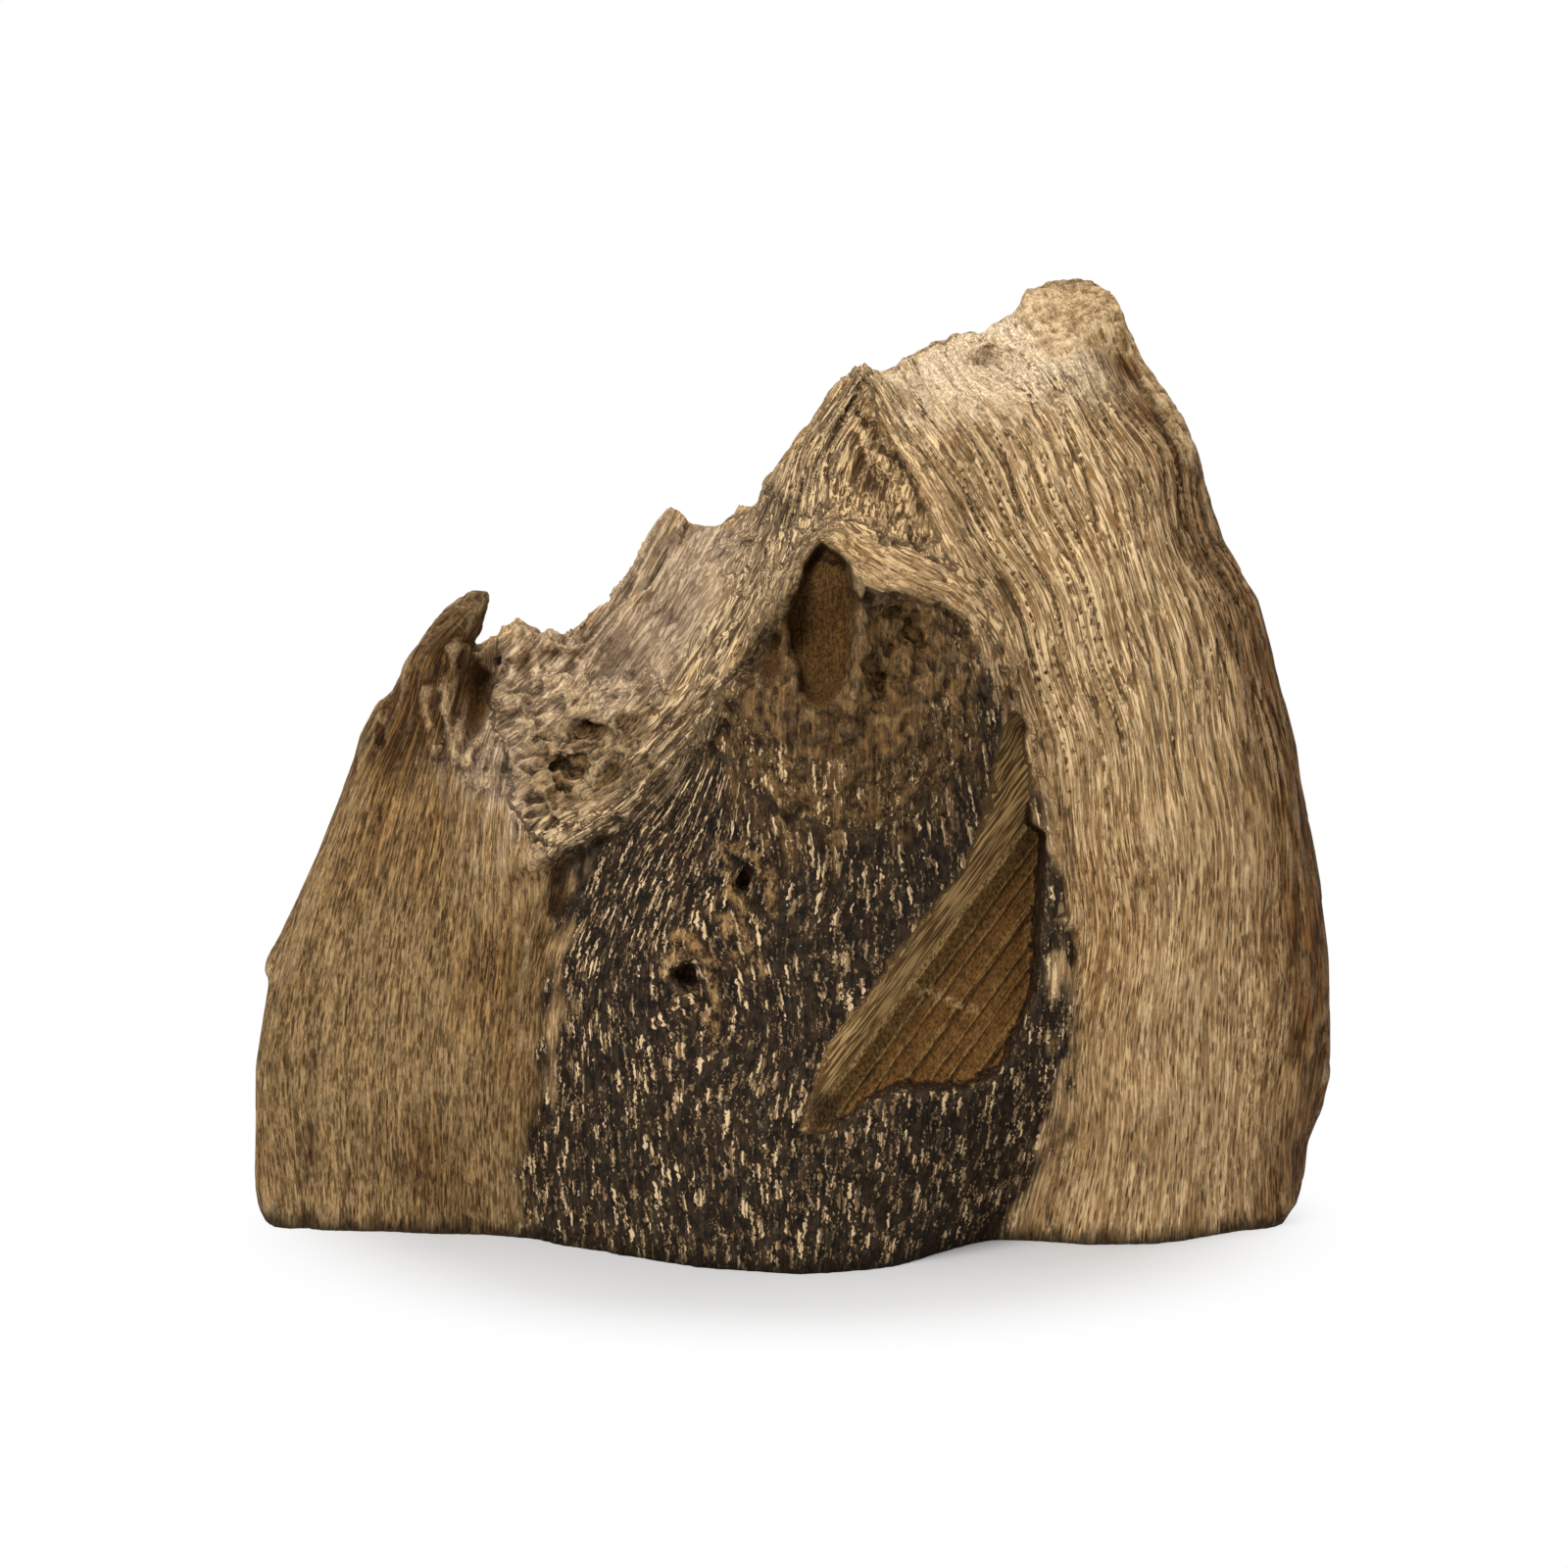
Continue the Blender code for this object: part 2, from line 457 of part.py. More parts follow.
stump = make_stump()
stump.data.materials.append(weathered_wood())
thin = stump.modifiers.new("thin", "DECIMATE")
triangles = sum(len(face.vertices) - 2 for face in stump.data.polygons)
thin.ratio = KEPT_TRIANGLES / triangles
saw = stump.modifiers.new("saw_base_flat", "BOOLEAN")
saw.object = floor_block()
stump.data.shade_smooth()
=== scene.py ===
"""Agarwood stump in a plain pale studio: the finish of one weathered lump of trunk."""
import math

import bpy
import numpy as np
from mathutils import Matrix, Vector, noise


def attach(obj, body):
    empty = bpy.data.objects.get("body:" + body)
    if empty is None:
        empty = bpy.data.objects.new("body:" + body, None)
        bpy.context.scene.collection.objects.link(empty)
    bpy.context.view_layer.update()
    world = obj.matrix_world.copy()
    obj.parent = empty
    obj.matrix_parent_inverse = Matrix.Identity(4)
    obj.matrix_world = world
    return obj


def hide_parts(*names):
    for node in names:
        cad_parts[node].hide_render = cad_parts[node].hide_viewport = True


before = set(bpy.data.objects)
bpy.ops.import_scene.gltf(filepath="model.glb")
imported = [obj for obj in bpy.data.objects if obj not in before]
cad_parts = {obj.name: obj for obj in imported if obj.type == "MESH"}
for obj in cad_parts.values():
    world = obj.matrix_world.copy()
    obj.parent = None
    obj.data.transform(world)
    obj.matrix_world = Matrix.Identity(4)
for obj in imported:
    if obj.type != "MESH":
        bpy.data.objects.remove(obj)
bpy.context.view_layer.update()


# Studio.
# A camera level with the middle of the stump and 8 degrees above it, and a pale floor that
# whitens further out. One large soft light hangs above and to the left, over even light.
MM = 0.001
CAMERA_TARGET = Vector((-1.72, 1.41, 91.5)) * MM
CAMERA_DISTANCE = 1200 * MM
CAMERA_RISE = math.radians(8)
LENS_MM = 135
SENSOR_MM = 36
VIEW_LIMIT = 20
LIGHT_TARGET = Vector((0, 0, 0.09))
FLOOR_RADIUS = 3.0
FLOOR_CORNERS = 96
FLOOR_DROP = 0.05 * MM
# The floor's own grey ends and plain white is reached at these distances from the middle.
FLOOR_WHITE_FROM = 0.070
FLOOR_WHITE_TO = 0.118
SKY_LIGHT = 0.48
SOFT_BOXES = [
    # place in metres, size in metres, power in watts
    ((-0.45, -0.85, 1.20), 0.7, 21.0),
    ((0.40, 0.45, 1.40), 1.0, 8.0),
]


def linear(code):
    """An sRGB hex code as linear red, green, blue and alpha."""
    shares = [int(code[i:i + 2], 16) / 255 for i in (1, 3, 5)]
    return [s / 12.92 if s <= 0.04045 else ((s + 0.055) / 1.055) ** 2.4 for s in shares] + [1.0]


def add(tree, kind, inputs=None, **settings):
    """Adds a node to a tree, with its settings, and its inputs as values or links."""
    node = tree.nodes.new("ShaderNode" + kind)
    for name, value in settings.items():
        setattr(node, name, value)
    for socket, value in (inputs or {}).items():
        if isinstance(value, bpy.types.NodeSocket):
            tree.links.new(value, node.inputs[socket])
        else:
            node.inputs[socket].default_value = value
    return node


camera_place = CAMERA_TARGET + CAMERA_DISTANCE * Vector(
    (0, -math.cos(CAMERA_RISE), math.sin(CAMERA_RISE)))
bpy.ops.object.camera_add(location=camera_place, rotation=(math.pi / 2 - CAMERA_RISE, 0, 0))
camera = bpy.context.object
camera.data.lens = LENS_MM
camera.data.sensor_width = SENSOR_MM
camera.data.clip_end = VIEW_LIMIT
bpy.context.scene.camera = camera
bpy.context.scene.view_settings.view_transform = "Standard"

for place, size, power in SOFT_BOXES:
    aim = (LIGHT_TARGET - Vector(place)).to_track_quat("-Z", "Y").to_euler()
    bpy.ops.object.light_add(type="AREA", location=place, rotation=aim)
    bpy.context.object.data.size = size
    bpy.context.object.data.energy = power

world = bpy.data.worlds.new("white_room")
bpy.context.scene.world = world
world.use_nodes = True
room = world.node_tree
room.nodes.clear()
seen = add(room, "LightPath").outputs["Is Camera Ray"]
strength = add(room, "MapRange", {"Value": seen, "To Min": SKY_LIGHT, "To Max": 1.0}).outputs[0]
backdrop = add(room, "Background", {"Color": (1, 1, 1, 1), "Strength": strength})
add(room, "OutputWorld", {"Surface": backdrop.outputs[0]})

bpy.ops.mesh.primitive_circle_add(
    vertices=FLOOR_CORNERS, radius=FLOOR_RADIUS, fill_type="NGON", location=(0, 0, -FLOOR_DROP))
floor = bpy.context.object
floor.name = "pale_floor"
paper = bpy.data.materials.new("matt_white_paper_sweep")
paper.use_nodes = True
tree = paper.node_tree
tree.nodes.clear()
spot = add(tree, "TexCoord").outputs["Object"]
away = add(tree, "VectorMath", {0: spot}, operation="LENGTH").outputs["Value"]
whiter = add(tree, "MapRange", {
    "Value": away, "From Min": FLOOR_WHITE_FROM, "From Max": FLOOR_WHITE_TO,
}, interpolation_type="SMOOTHSTEP").outputs[0]
matt = add(tree, "BsdfDiffuse", {"Color": linear("#D2D2D2")})
white = add(tree, "Emission", {"Color": (1, 1, 1, 1), "Strength": 1.0})
sweep = add(tree, "MixShader", {0: whiter, 1: matt.outputs[0], 2: white.outputs[0]})
add(tree, "OutputMaterial", {"Surface": sweep.outputs[0]})
floor.data.materials.append(paper)


# The lump of wood: its form.
# Dense trunk wood, sawn flat below and weathered above. It is sculpted from a block of small
# faces as the frame's solid is, with finer hollows and cords of wood than that has room for.

# Points are millimetres, as drawn in front view, which lies a little off the frame's centre.
DRAWING_SHIFT = np.array([0.32, -1.41, 0.0])
FACES_ACROSS = 300
FACES_UP = 225
FACES_DEEP = 24
# Shares of the width and height that roll round to the back.
SIDE_ROLL = 0.026
TOP_ROLL = 0.022
THINNEST = 3.0
EDGE_SHARE = 0.0001
# The broken rim is rougher from this share of the height up.
RIM_FROM = 0.93
RIM_FADE = 0.06
SKIN_VOXEL = 0.74
KEPT_TRIANGLES = 196000

LEFT_EDGE = [
    (-108, -4), (-108.8, 0), (-110.1, 2.5), (-111.1, 7.5), (-111, 17), (-111, 31), (-109.8, 39),
    (-108, 49.5), (-108.8, 53), (-107.5, 55), (-105.5, 58.5), (-103, 63.5), (-100, 70),
    (-97.8, 74.7), (-94.8, 81.7), (-92.5, 87.8), (-90, 95), (-88.8, 100), (-85.2, 106.8),
    (-82.3, 108.4), (-80.5, 112), (-79.3, 115.6), (-76.3, 119), (-73.5, 123.6), (-71.7, 125.8),
    (-68, 128.7), (-64, 130.1), (-62, 128.6),
]

# The right edge swells above the saw cut and climbs to the summit.
RIGHT_EDGE = [
    (101, -4), (102.6, 0), (104.8, 3), (106.4, 8), (107, 16), (109.6, 22), (111.7, 30), (111.5, 42.6),
    (110.5, 57), (109, 69.4), (107, 79.6), (103.6, 98), (99.4, 116), (96.2, 127.3),
    (91.6, 135.3), (88.5, 140.3), (85.5, 150.3), (83.5, 158), (80, 165.3), (76.6, 171.2),
    (72, 177.2), (68.7, 183), (66.7, 188.4), (66, 190),
]

# The broken top: horn, two teeth, back wall with its spike, wing, shoulder and summit.
TOP_EDGE = [
    (-62, 128.6), (-63.8, 122.6), (-65.3, 118), (-64.4, 116.2), (-62, 116.2), (-59.8, 118.3),
    (-55.7, 121.9), (-53.2, 119.1), (-51.6, 116.9), (-49.6, 119.4), (-47, 117.6), (-45, 117.4),
    (-42.1, 121.3), (-38.2, 123.9), (-32.4, 131.8), (-28.9, 137.5), (-26, 143.4), (-24.6, 144.6),
    (-23, 142.2), (-20.8, 139.9), (-15, 140.6), (-12.7, 142.7), (-6.4, 145.9), (-5.4, 152.8),
    (-1.4, 158.3), (1, 161.9), (4.9, 166.9), (7.7, 171.8), (10.8, 175.4), (14, 177.6),
    (16.2, 176.5), (18.4, 175.4), (22.5, 177.4), (26.6, 179.7), (32.7, 181.5), (39.8, 183),
    (45, 185.8), (48, 190), (51, 191.8), (56, 192.7), (63, 192.7), (66, 190),
]

# Depths of the front face (x, z, y): a smaller y stands nearer the viewer.
LEFT_FLANK = [
    (-108, 30, 1), (-102, 12, -2), (-96, 1, -6), (-74, 0, -10), (-57, 0, -13), (-102, 51, -3),
    (-81, 29, -11), (-81, 61, -9), (-61, 38, -16), (-92, 81, 0), (-75, 79, -8), (-57, 74, -15),
    (-81, 97, 2), (-71, 94, -2), (-57, 87, -8),
]
HORN_FACE = [
    (-83, 107, 6), (-76, 113, 8), (-68, 121, 10), (-71, 107, 6), (-64, 127, 13), (-66, 110, 13),
    (-68, 99, 3),
]
FOLD = [(-52, 0, -17), (-51, 24, -18), (-50, 48, -18), (-48, 68, -17), (-46, 80, -17)]
BASIN = [
    (-49, 84, -13), (-62, 97, 5), (-50, 98, 6), (-39, 95, -6), (-37, 103, 3), (-62, 110, 16),
    (-54, 111, 19), (-42, 109, 20), (-30, 112, 12), (-24, 122, 18), (-32, 120, 30),
    (-22, 131, 30), (-15, 137, 30),
]
BACK_WALL = [
    (-56, 121, 20), (-49, 118, 28), (-42, 117, 36), (-33, 130, 40), (-25, 143, 42),
    (-14, 140, 40), (-9, 144, 38),
]
WING = [
    (14, 177, -4), (6, 166, -6), (1, 160, -8), (-3, 153, -9), (-5, 141, -14), (-11, 131, -16),
    (6, 157, -14), (2, 146, -26), (-17, 122, -18), (-9, 123, -30), (-25, 112, -18),
    (-17, 108, -33), (-33, 100, -18), (-29, 95, -27), (-41, 90, -16),
]
DARK_RIB = [
    (-41, 0, -24), (-41, 25, -24), (-41, 55, -23), (-39, 75, -21), (-31, 85, -27),
    (-31, 0, -32), (-31, 47, -32), (-21, 0, -39), (-21, 28, -40), (-21, 58, -39),
    (-21, 81, -36), (2, 0, -47), (2, 30, -49), (2, 60, -50), (2, 87, -52), (18, 0, -42),
    (18, 29, -45), (20, 59, -47), (22, 87, -50), (28, 1, -31), (32, 21, -34), (36, 58, -38),
    (37, 78, -40), (42, 19, -22), (38, 0, -18),
]
BRANCH_STUB = [
    (7, 144, -46), (-1, 135, -46), (-8, 119, -46), (10, 130, -54), (4, 111, -58),
    (18, 107, -58), (-7, 106, -50), (18, 137, -50), (29, 132, -42), (37, 124, -36),
    (37, 105, -42), (29, 110, -52),
]
CROTCH = [(12, 163, -13), (14, 154, -21), (24, 143, -34), (30, 146, -24), (18, 147, -34)]
SIDE_CLEFT = [
    (45, 103, -28), (51, 85, -28), (53, 65, -29), (54, 45, -27), (54, 24, -21), (50, 0, -17),
]
RIGHT_LOBE = [
    (18, 168, -8), (26, 163, -12), (35, 147, -17), (42, 130, -23), (47, 115, -26),
    (53, 95, -27), (38, 172, -3), (50, 153, -14), (59, 134, -22), (67, 111, -27),
    (73, 86, -29), (77, 56, -29), (75, 30, -27), (74, 0, -20), (60, 29, -23), (60, 0, -20),
]
RIGHT_SHOULDER = [
    (69, 179, 13), (75, 161, 4), (83, 140, -2), (90, 117, -7), (96, 93, -9), (98, 63, -9),
    (98, 36, -9), (97, 16, -8), (95, 0, -6),
]
CREST = [
    (61, 192, 22), (51, 191, 21), (45, 184, 16), (39, 182, 14), (39, 176, 10), (30, 179, 8),
    (56, 172, 0), (63, 184, 10), (56, 183, 10), (46, 177, 6),
]
FRONT = (
    LEFT_FLANK + HORN_FACE + FOLD + BASIN + BACK_WALL + WING + DARK_RIB + BRANCH_STUB
    + CROTCH + SIDE_CLEFT + RIGHT_LOBE + RIGHT_SHOULDER + CREST
)

# Depths of the back face (x, z, y), which the viewer never sees from the front.
BACK_LOW = [
    (-109, 0, 17), (-84, 0, 31), (-45, 0, 44), (0, 0, 50), (45, 0, 47), (80, 0, 35), (103, 0, 19),
    (-110, 40, 19), (-82, 50, 34), (-40, 50, 46), (0, 45, 53), (45, 50, 50), (85, 50, 37),
    (111, 45, 22),
]
BACK_HIGH = [
    (-95, 90, 18), (-72, 90, 30), (-35, 95, 46), (5, 100, 52), (50, 100, 48), (85, 95, 35),
    (104, 95, 22), (-82, 111, 18), (-63, 128, 18), (-62, 114, 25), (-56, 121, 26),
    (-50, 118, 33), (-43, 117, 43), (-33, 130, 46), (-25, 144, 47), (-14, 140, 47),
    (-6, 145, 44), (20, 130, 48), (60, 140, 42), (92, 134, 25),
]
BACK_CREST = [
    (-2, 156, 12), (4, 165, 7), (14, 177, 5), (18, 175, 9), (27, 179, 18), (39, 183, 25),
    (50, 191, 31), (62, 192, 32), (66, 190, 28), (8, 152, 30), (20, 162, 24), (34, 172, 27),
    (35, 150, 42), (60, 172, 33), (77, 171, 24), (85, 150, 24), (70, 183, 27),
]
BACK = BACK_LOW + BACK_HIGH + BACK_CREST

# Hollows in the front: outline (x, z), depth, and the width of the wall down to the floor.
BRANCH_HOLLOW = (
    [(5.8, 146), (11, 142.6), (12.4, 138), (13.6, 135.4), (12.4, 130), (11.6, 124.3),
     (10.2, 117.6), (7, 114), (2.8, 114.4), (1.4, 119.5), (-1, 125.3), (-1.4, 130.5),
     (0.8, 137.2), (2, 141.8)], 9, 1.5)
ROT_POCKET = (
    [(14.6, 134.6), (23.3, 134.1), (27.5, 130.3), (29.5, 124.5), (27.4, 119.6), (24.2, 114.8),
     (19.4, 111.3), (15.1, 112.5), (12.4, 119.7), (12.6, 126)], 3.6, 3.4)
ROT_HEART = ([(18, 132.5), (24.3, 133.1), (27, 129.3), (25.9, 123.6), (21.6, 124.6)], 3.6, 2.5)
ROT_FLOOR = ([(15.5, 122), (18.5, 121), (19.5, 115.5), (15.5, 115)], 3.5, 2)
SIDE_POCKET = ([(-3, 128.4), (-1.2, 127.5), (-1.6, 121), (-4, 118), (-5.6, 121.3)], 4, 1.8)
CROTCH_RECESS = (
    [(12.9, 168.5), (18.4, 162), (23.6, 155), (28.2, 146), (29.4, 140.5), (24.5, 140),
     (14.3, 146.7), (7.6, 149.5), (9, 156), (10.7, 163)], 5, 7)
CROTCH_PIT = ([(19.9, 154.4), (22.1, 154), (26, 147), (26.3, 141.8), (23, 143)], 4, 2.2)
SIDE_CHANNEL = (
    [(39.6, 126), (42.3, 124), (45.1, 114.5), (47, 104), (47.5, 99), (43.8, 101), (41.2, 115)],
    6, 2.6)
HORN_HOLLOW = (
    [(-65.4, 115), (-61.6, 113), (-60.6, 108.7), (-61.6, 103.8), (-63.6, 99.8), (-66, 100.8),
     (-67, 105.1), (-67.4, 110)], 6, 3.2)
WEB_PIT_LOW = (
    [(-50.2, 96.8), (-42.8, 98.2), (-39.2, 96.6), (-39.8, 93), (-42.6, 89.4), (-45.2, 88.4),
     (-48.8, 90.4)], 6, 2.6)
WEB_PIT_MIDDLE = ([(-46.8, 101.5), (-42.5, 104), (-36.6, 103), (-38, 99.2), (-45, 98.9)], 5, 2)
WEB_PIT_RIGHT = ([(-36.1, 105.4), (-28.4, 107), (-28.4, 104), (-33, 101.4), (-36.4, 102)], 4, 2)
WEB_PIT_UNDER_WING = (
    [(-40.4, 92), (-37.2, 96.2), (-28, 101), (-27.8, 99.2), (-36, 94), (-39, 90.8)], 4.5, 1.8)
WEB_PIT_HIGH = ([(-36.3, 112.6), (-32, 113.4), (-31.4, 111.2), (-35.4, 110.6)], 3.5, 1.4)
UPPER_KNOT_HOLE = (
    [(-9.2, 83.4), (-6.6, 81), (-6.4, 77.4), (-8.2, 73.9), (-10.6, 74.6), (-11.6, 78)], 9, 2.2)
LOWER_KNOT_HOLE = (
    [(-24.4, 59), (-22.4, 61.2), (-18, 61.6), (-16.6, 57), (-16.9, 52), (-18.4, 50),
     (-20.6, 54), (-23.4, 56)], 7, 2.4)
CREST_SCOOP = (
    [(35, 178), (40.6, 181), (47, 181), (49, 176.5), (46, 172.4), (40, 171.8), (36, 174.4)], 4.6, 3.8)
CREST_PIT = ([(52, 173), (55.2, 172.8), (55.2, 169.4), (53.4, 168), (51.6, 170)], 3.5, 1.6)
EDGE_BITE = (
    [(112, 44), (108, 43), (105.4, 33.4), (103.4, 21.3), (102.4, 9), (104, 4), (112, 6)], 2.5, 3)
HOLLOWS = [
    BRANCH_HOLLOW, ROT_POCKET, ROT_HEART, ROT_FLOOR, SIDE_POCKET, CROTCH_RECESS, CROTCH_PIT,
    SIDE_CHANNEL, HORN_HOLLOW, WEB_PIT_LOW, WEB_PIT_MIDDLE, WEB_PIT_RIGHT, WEB_PIT_UNDER_WING,
    WEB_PIT_HIGH, UPPER_KNOT_HOLE, LOWER_KNOT_HOLE, CREST_SCOOP, CREST_PIT, EDGE_BITE,
]

# Cords of wood: path (x, z), half width, rise towards the viewer. Furrows have a negative rise.
WING_CREST = (
    [(14, 176), (4, 162), (-1, 150), (-6.7, 126), (-12, 118), (-20.3, 105.8), (-28, 97),
     (-34.3, 91), (-42, 85.8), (-49, 80.7), (-52.5, 79)], 5, 4)
WING_STRAND = ([(9, 168), (6, 152), (-2, 136), (-14, 120), (-24, 110)], 3, 2)
HOOD_LEFT = (
    [(8.8, 146), (4.6, 146), (0.4, 141.5), (-2.4, 134.5), (-6.4, 128), (-9, 122), (-13, 116),
     (-17, 106)], 4, 4.5)
HOOD_RIGHT = (
    [(7.7, 147), (12.4, 142.4), (15.6, 138), (22, 136.6), (31.6, 134), (36.6, 128.5),
     (38.6, 119.6), (41, 111), (43, 102)], 4, 4.5)
HOLLOW_DIVIDE = ([(12, 137), (13.6, 130), (12.4, 120), (11, 111)], 2.4, 2.4)
LOBE_RIM = ([(14.4, 176), (22, 164), (28.6, 151.5), (34, 140), (39.5, 131), (43.6, 121)], 4.5, 3.4)
WEB_TOP = ([(-52, 111.5), (-43.3, 108.6), (-38, 107.2), (-31.6, 108.3), (-27, 112)], 3, 3.4)
WEB_LEFT = ([(-60.8, 108.8), (-54.5, 103.4), (-51, 99.4), (-46.8, 98.2)], 2.8, 2.6)
WEB_MIDDLE = ([(-42, 94.5), (-38.6, 98.6), (-36.3, 99.6), (-31, 102.4), (-26, 106)], 2.6, 3.4)
WEB_LOW = ([(-50.4, 90.4), (-47.6, 86.6), (-43.4, 87), (-38, 92), (-31, 97.4)], 2.6, 3.2)
HORN_CORD = ([(-68.5, 118), (-69.4, 106), (-67, 98), (-62, 93)], 3, 3.2)
TOOTH_CORD = ([(-55.7, 121), (-57, 113), (-58.4, 106)], 2.6, 1.8)
TOP_LIP = ([(64, 188), (70, 178.6), (75, 170.8), (79, 165), (80.6, 160)], 3, 1.4)
EAST_FOLD = ([(52, 104), (55.5, 84), (57, 50), (57.5, 24), (52, 4)], 2.6, -1.6)
WEST_FOLD = ([(-45, 79), (-49, 62), (-51, 30), (-52, 0)], 5, -2.2)
FLANK_FURROW = ([(-98, 52), (-99, 30), (-99.5, 0)], 3.5, -1.2)
SHADE_UNDER_WING = ([(-34, 86), (-41, 81), (-46, 74), (-48, 68)], 3, -3)
LOBE_FURROWS = [
    ([(29.1, 166.3), (35, 153), (40, 141.6), (45, 130), (48, 116.8), (50, 103)], 2.8, -1.5),
    ([(38, 168.3), (43.7, 153), (49.5, 137.7), (52.6, 124.4), (54.6, 108.8)], 2.6, -1.3),
    ([(46.8, 164.4), (52.5, 147.2), (57.2, 130.2), (59.8, 111), (61, 91)], 2.6, -1.1),
    ([(54.7, 158.5), (60.3, 141.4), (65.1, 122.3), (67, 103)], 2.4, -1),
]
CORDS = [
    WING_CREST, WING_STRAND, HOOD_LEFT, HOOD_RIGHT, HOLLOW_DIVIDE, LOBE_RIM, WEB_TOP, WEB_LEFT,
    WEB_MIDDLE, WEB_LOW, HORN_CORD, TOOTH_CORD, TOP_LIP, EAST_FOLD, WEST_FOLD,
    FLANK_FURROW, SHADE_UNDER_WING,
] + LOBE_FURROWS

# The saw notch: the plane left by the chain, as the depth at its tip and the depth gained per
# mm across, a slanting facet beyond a straight step, and the walls on its right and below.
NOTCH_TIP = (5.4, 33.7)
NOTCH_STEP_TOP = (47.7, 87.4)
NOTCH_DEPTH_AT_TIP = -48.5
NOTCH_DEPTH_PER_X = 0.62
NOTCH_STEP = 2.0
NOTCH_FACET_SLOPE = 1.7
NOTCH_WALL = 1.2
NOTCH_RIDGE = (
    [(5, 34.6), (5.6, 37.5), (8.9, 46.3), (14.1, 50.6), (21.5, 59.4), (28.9, 68.3), (34.5, 74.6),
     (46, 87)], 0.9, 0.7)
NOTCH_TAIL = ([(40, 99), (41.8, 108), (44.8, 111), (46.8, 107), (47.4, 97), (46, 90)], 1.6, 1.2)
NOTCH_BOUNDS = [
    (1, 28.5), (8.5, 28.8), (14.4, 33.3), (21.3, 36), (34.8, 34.2), (42, 36.7), (44.8, 42.2),
    (49.4, 53.4), (50, 63.4), (51, 78.3), (51.3, 85.2), (48.4, 87.9), (47.7, 99), (43.5, 110),
    (40.5, 103.3), (38.6, 93.4), (33.9, 80.2), (28.5, 74.9), (21.5, 65.8), (16.8, 59.1),
    (13, 53.8), (7.1, 47.2), (5, 40.3), (2.6, 32),
]
NOTCH_CRACK = (
    [(20, 58), (22, 57.6), (24.5, 56), (27.7, 54.4), (31, 52.8), (34.5, 51), (37.5, 49.4)], 0.8, 0.6)

# The chain's strokes: their spacing, how they sway, and how deep each one bites.
SAW_TOOTH_SPACING = 3.9
SAW_SWAY = 0.7
SAW_SWAY_RATE = 0.55
SAW_TOOTH_DEPTH = 1.1

# Broad ribs and troughs of the back: path (x, z), half width, rise away from the viewer.
BACK_RIBS = [
    ([(-60, 118), (-66, 80), (-72, -4)], 20, 5),
    ([(-30, 140), (-26, 70), (-24, -4)], 17, -6),
    ([(18, 150), (22, 80), (34, -4)], 26, 6),
    ([(66, 178), (72, 100), (78, -4)], 16, -5),
]
BACK_KNOT = ([(-9, 90), (-2, 98), (7, 97), (12, 86), (8, 73), (-2, 69), (-10, 77)], -6, 8)

# Swell of each face: size of the lumps across and along the grain, their height, and the
# layer of noise that they are drawn from.
FRONT_LUMPS = (11, 42, 1.1, 0.5)
BACK_FLUTES = (20, 110, 3.5, 7.5)

# Smaller hollows and cords than the frame's solid has room for, in the same form.
EYE_HOLE = ([(-36.5, 107.8), (-35.4, 109), (-33.4, 109), (-33, 107.9), (-34.9, 107)], 3.5, 0.9)
TOOTH_GAP = ([(-61.5, 114.7), (-60.8, 116.7), (-58.7, 115.8), (-58.7, 113.1), (-60.9, 112.8)], 4, 1)
WEB_PIT_LEFT = ([(-54.1, 101), (-50.1, 100.2), (-50.3, 97.4), (-53.8, 97.6)], 3, 1.2)
HORN_SLIT = ([(-84.8, 103.6), (-83.3, 102.8), (-83.2, 99.6), (-84.6, 97.8), (-85.6, 100.6)], 6, 0.8)
ROT_PIT_HIGH = ([(17.2, 133.8), (20.8, 133), (20.4, 130.6), (17.6, 131)], 4, 1.2)
ROT_PIT_MIDDLE = ([(17, 127.4), (20.2, 126.6), (19.4, 123.4), (17, 124.2)], 3, 1.2)
ROT_PIT_LOW = ([(15.6, 122), (18.9, 121.6), (18.4, 118.4), (15.8, 118.8)], 3, 1.2)
ROT_PIT_FOOT = ([(21.8, 114), (23.8, 111.8), (22.4, 108.4), (20.4, 110.6)], 2.6, 1.2)
ROT_SIDE_SLOT = ([(28, 127.6), (29.8, 124), (28.6, 120), (26.9, 116.6), (27, 121)], 3, 1)
SMALL_KNOT_HOLE = ([(-8.2, 74.6), (-5.7, 75.4), (-5, 73), (-7, 72)], 4, 0.8)
KNOT_CLEFT = ([(-21.4, 86.5), (-18.4, 82.5), (-16.2, 79.4), (-18, 80), (-20.4, 83)], 1.6, 0.8)
FINE_HOLLOWS = [
    EYE_HOLE, TOOTH_GAP, WEB_PIT_LEFT, HORN_SLIT, ROT_PIT_HIGH, ROT_PIT_MIDDLE, ROT_PIT_LOW,
    ROT_PIT_FOOT, ROT_SIDE_SLOT, SMALL_KNOT_HOLE, KNOT_CLEFT,
]
WING_FOOT = (
    [(-49.4, 80.2), (-46.2, 83.5), (-42.7, 86.9), (-38.9, 89.9), (-34.6, 93), (-31, 96.4),
     (-27.1, 100.6), (-22, 107)], 1.6, 1.8)
WEB_FORK = (
    [(-42, 91.3), (-40.9, 93.3), (-39.3, 96.5), (-37.5, 98.1), (-33.3, 100.5), (-28.9, 102.9)],
    1.5, 2)
WEB_STEM = ([(-37.2, 101.8), (-37.6, 99.9), (-38.4, 97.4)], 1.3, 1.8)
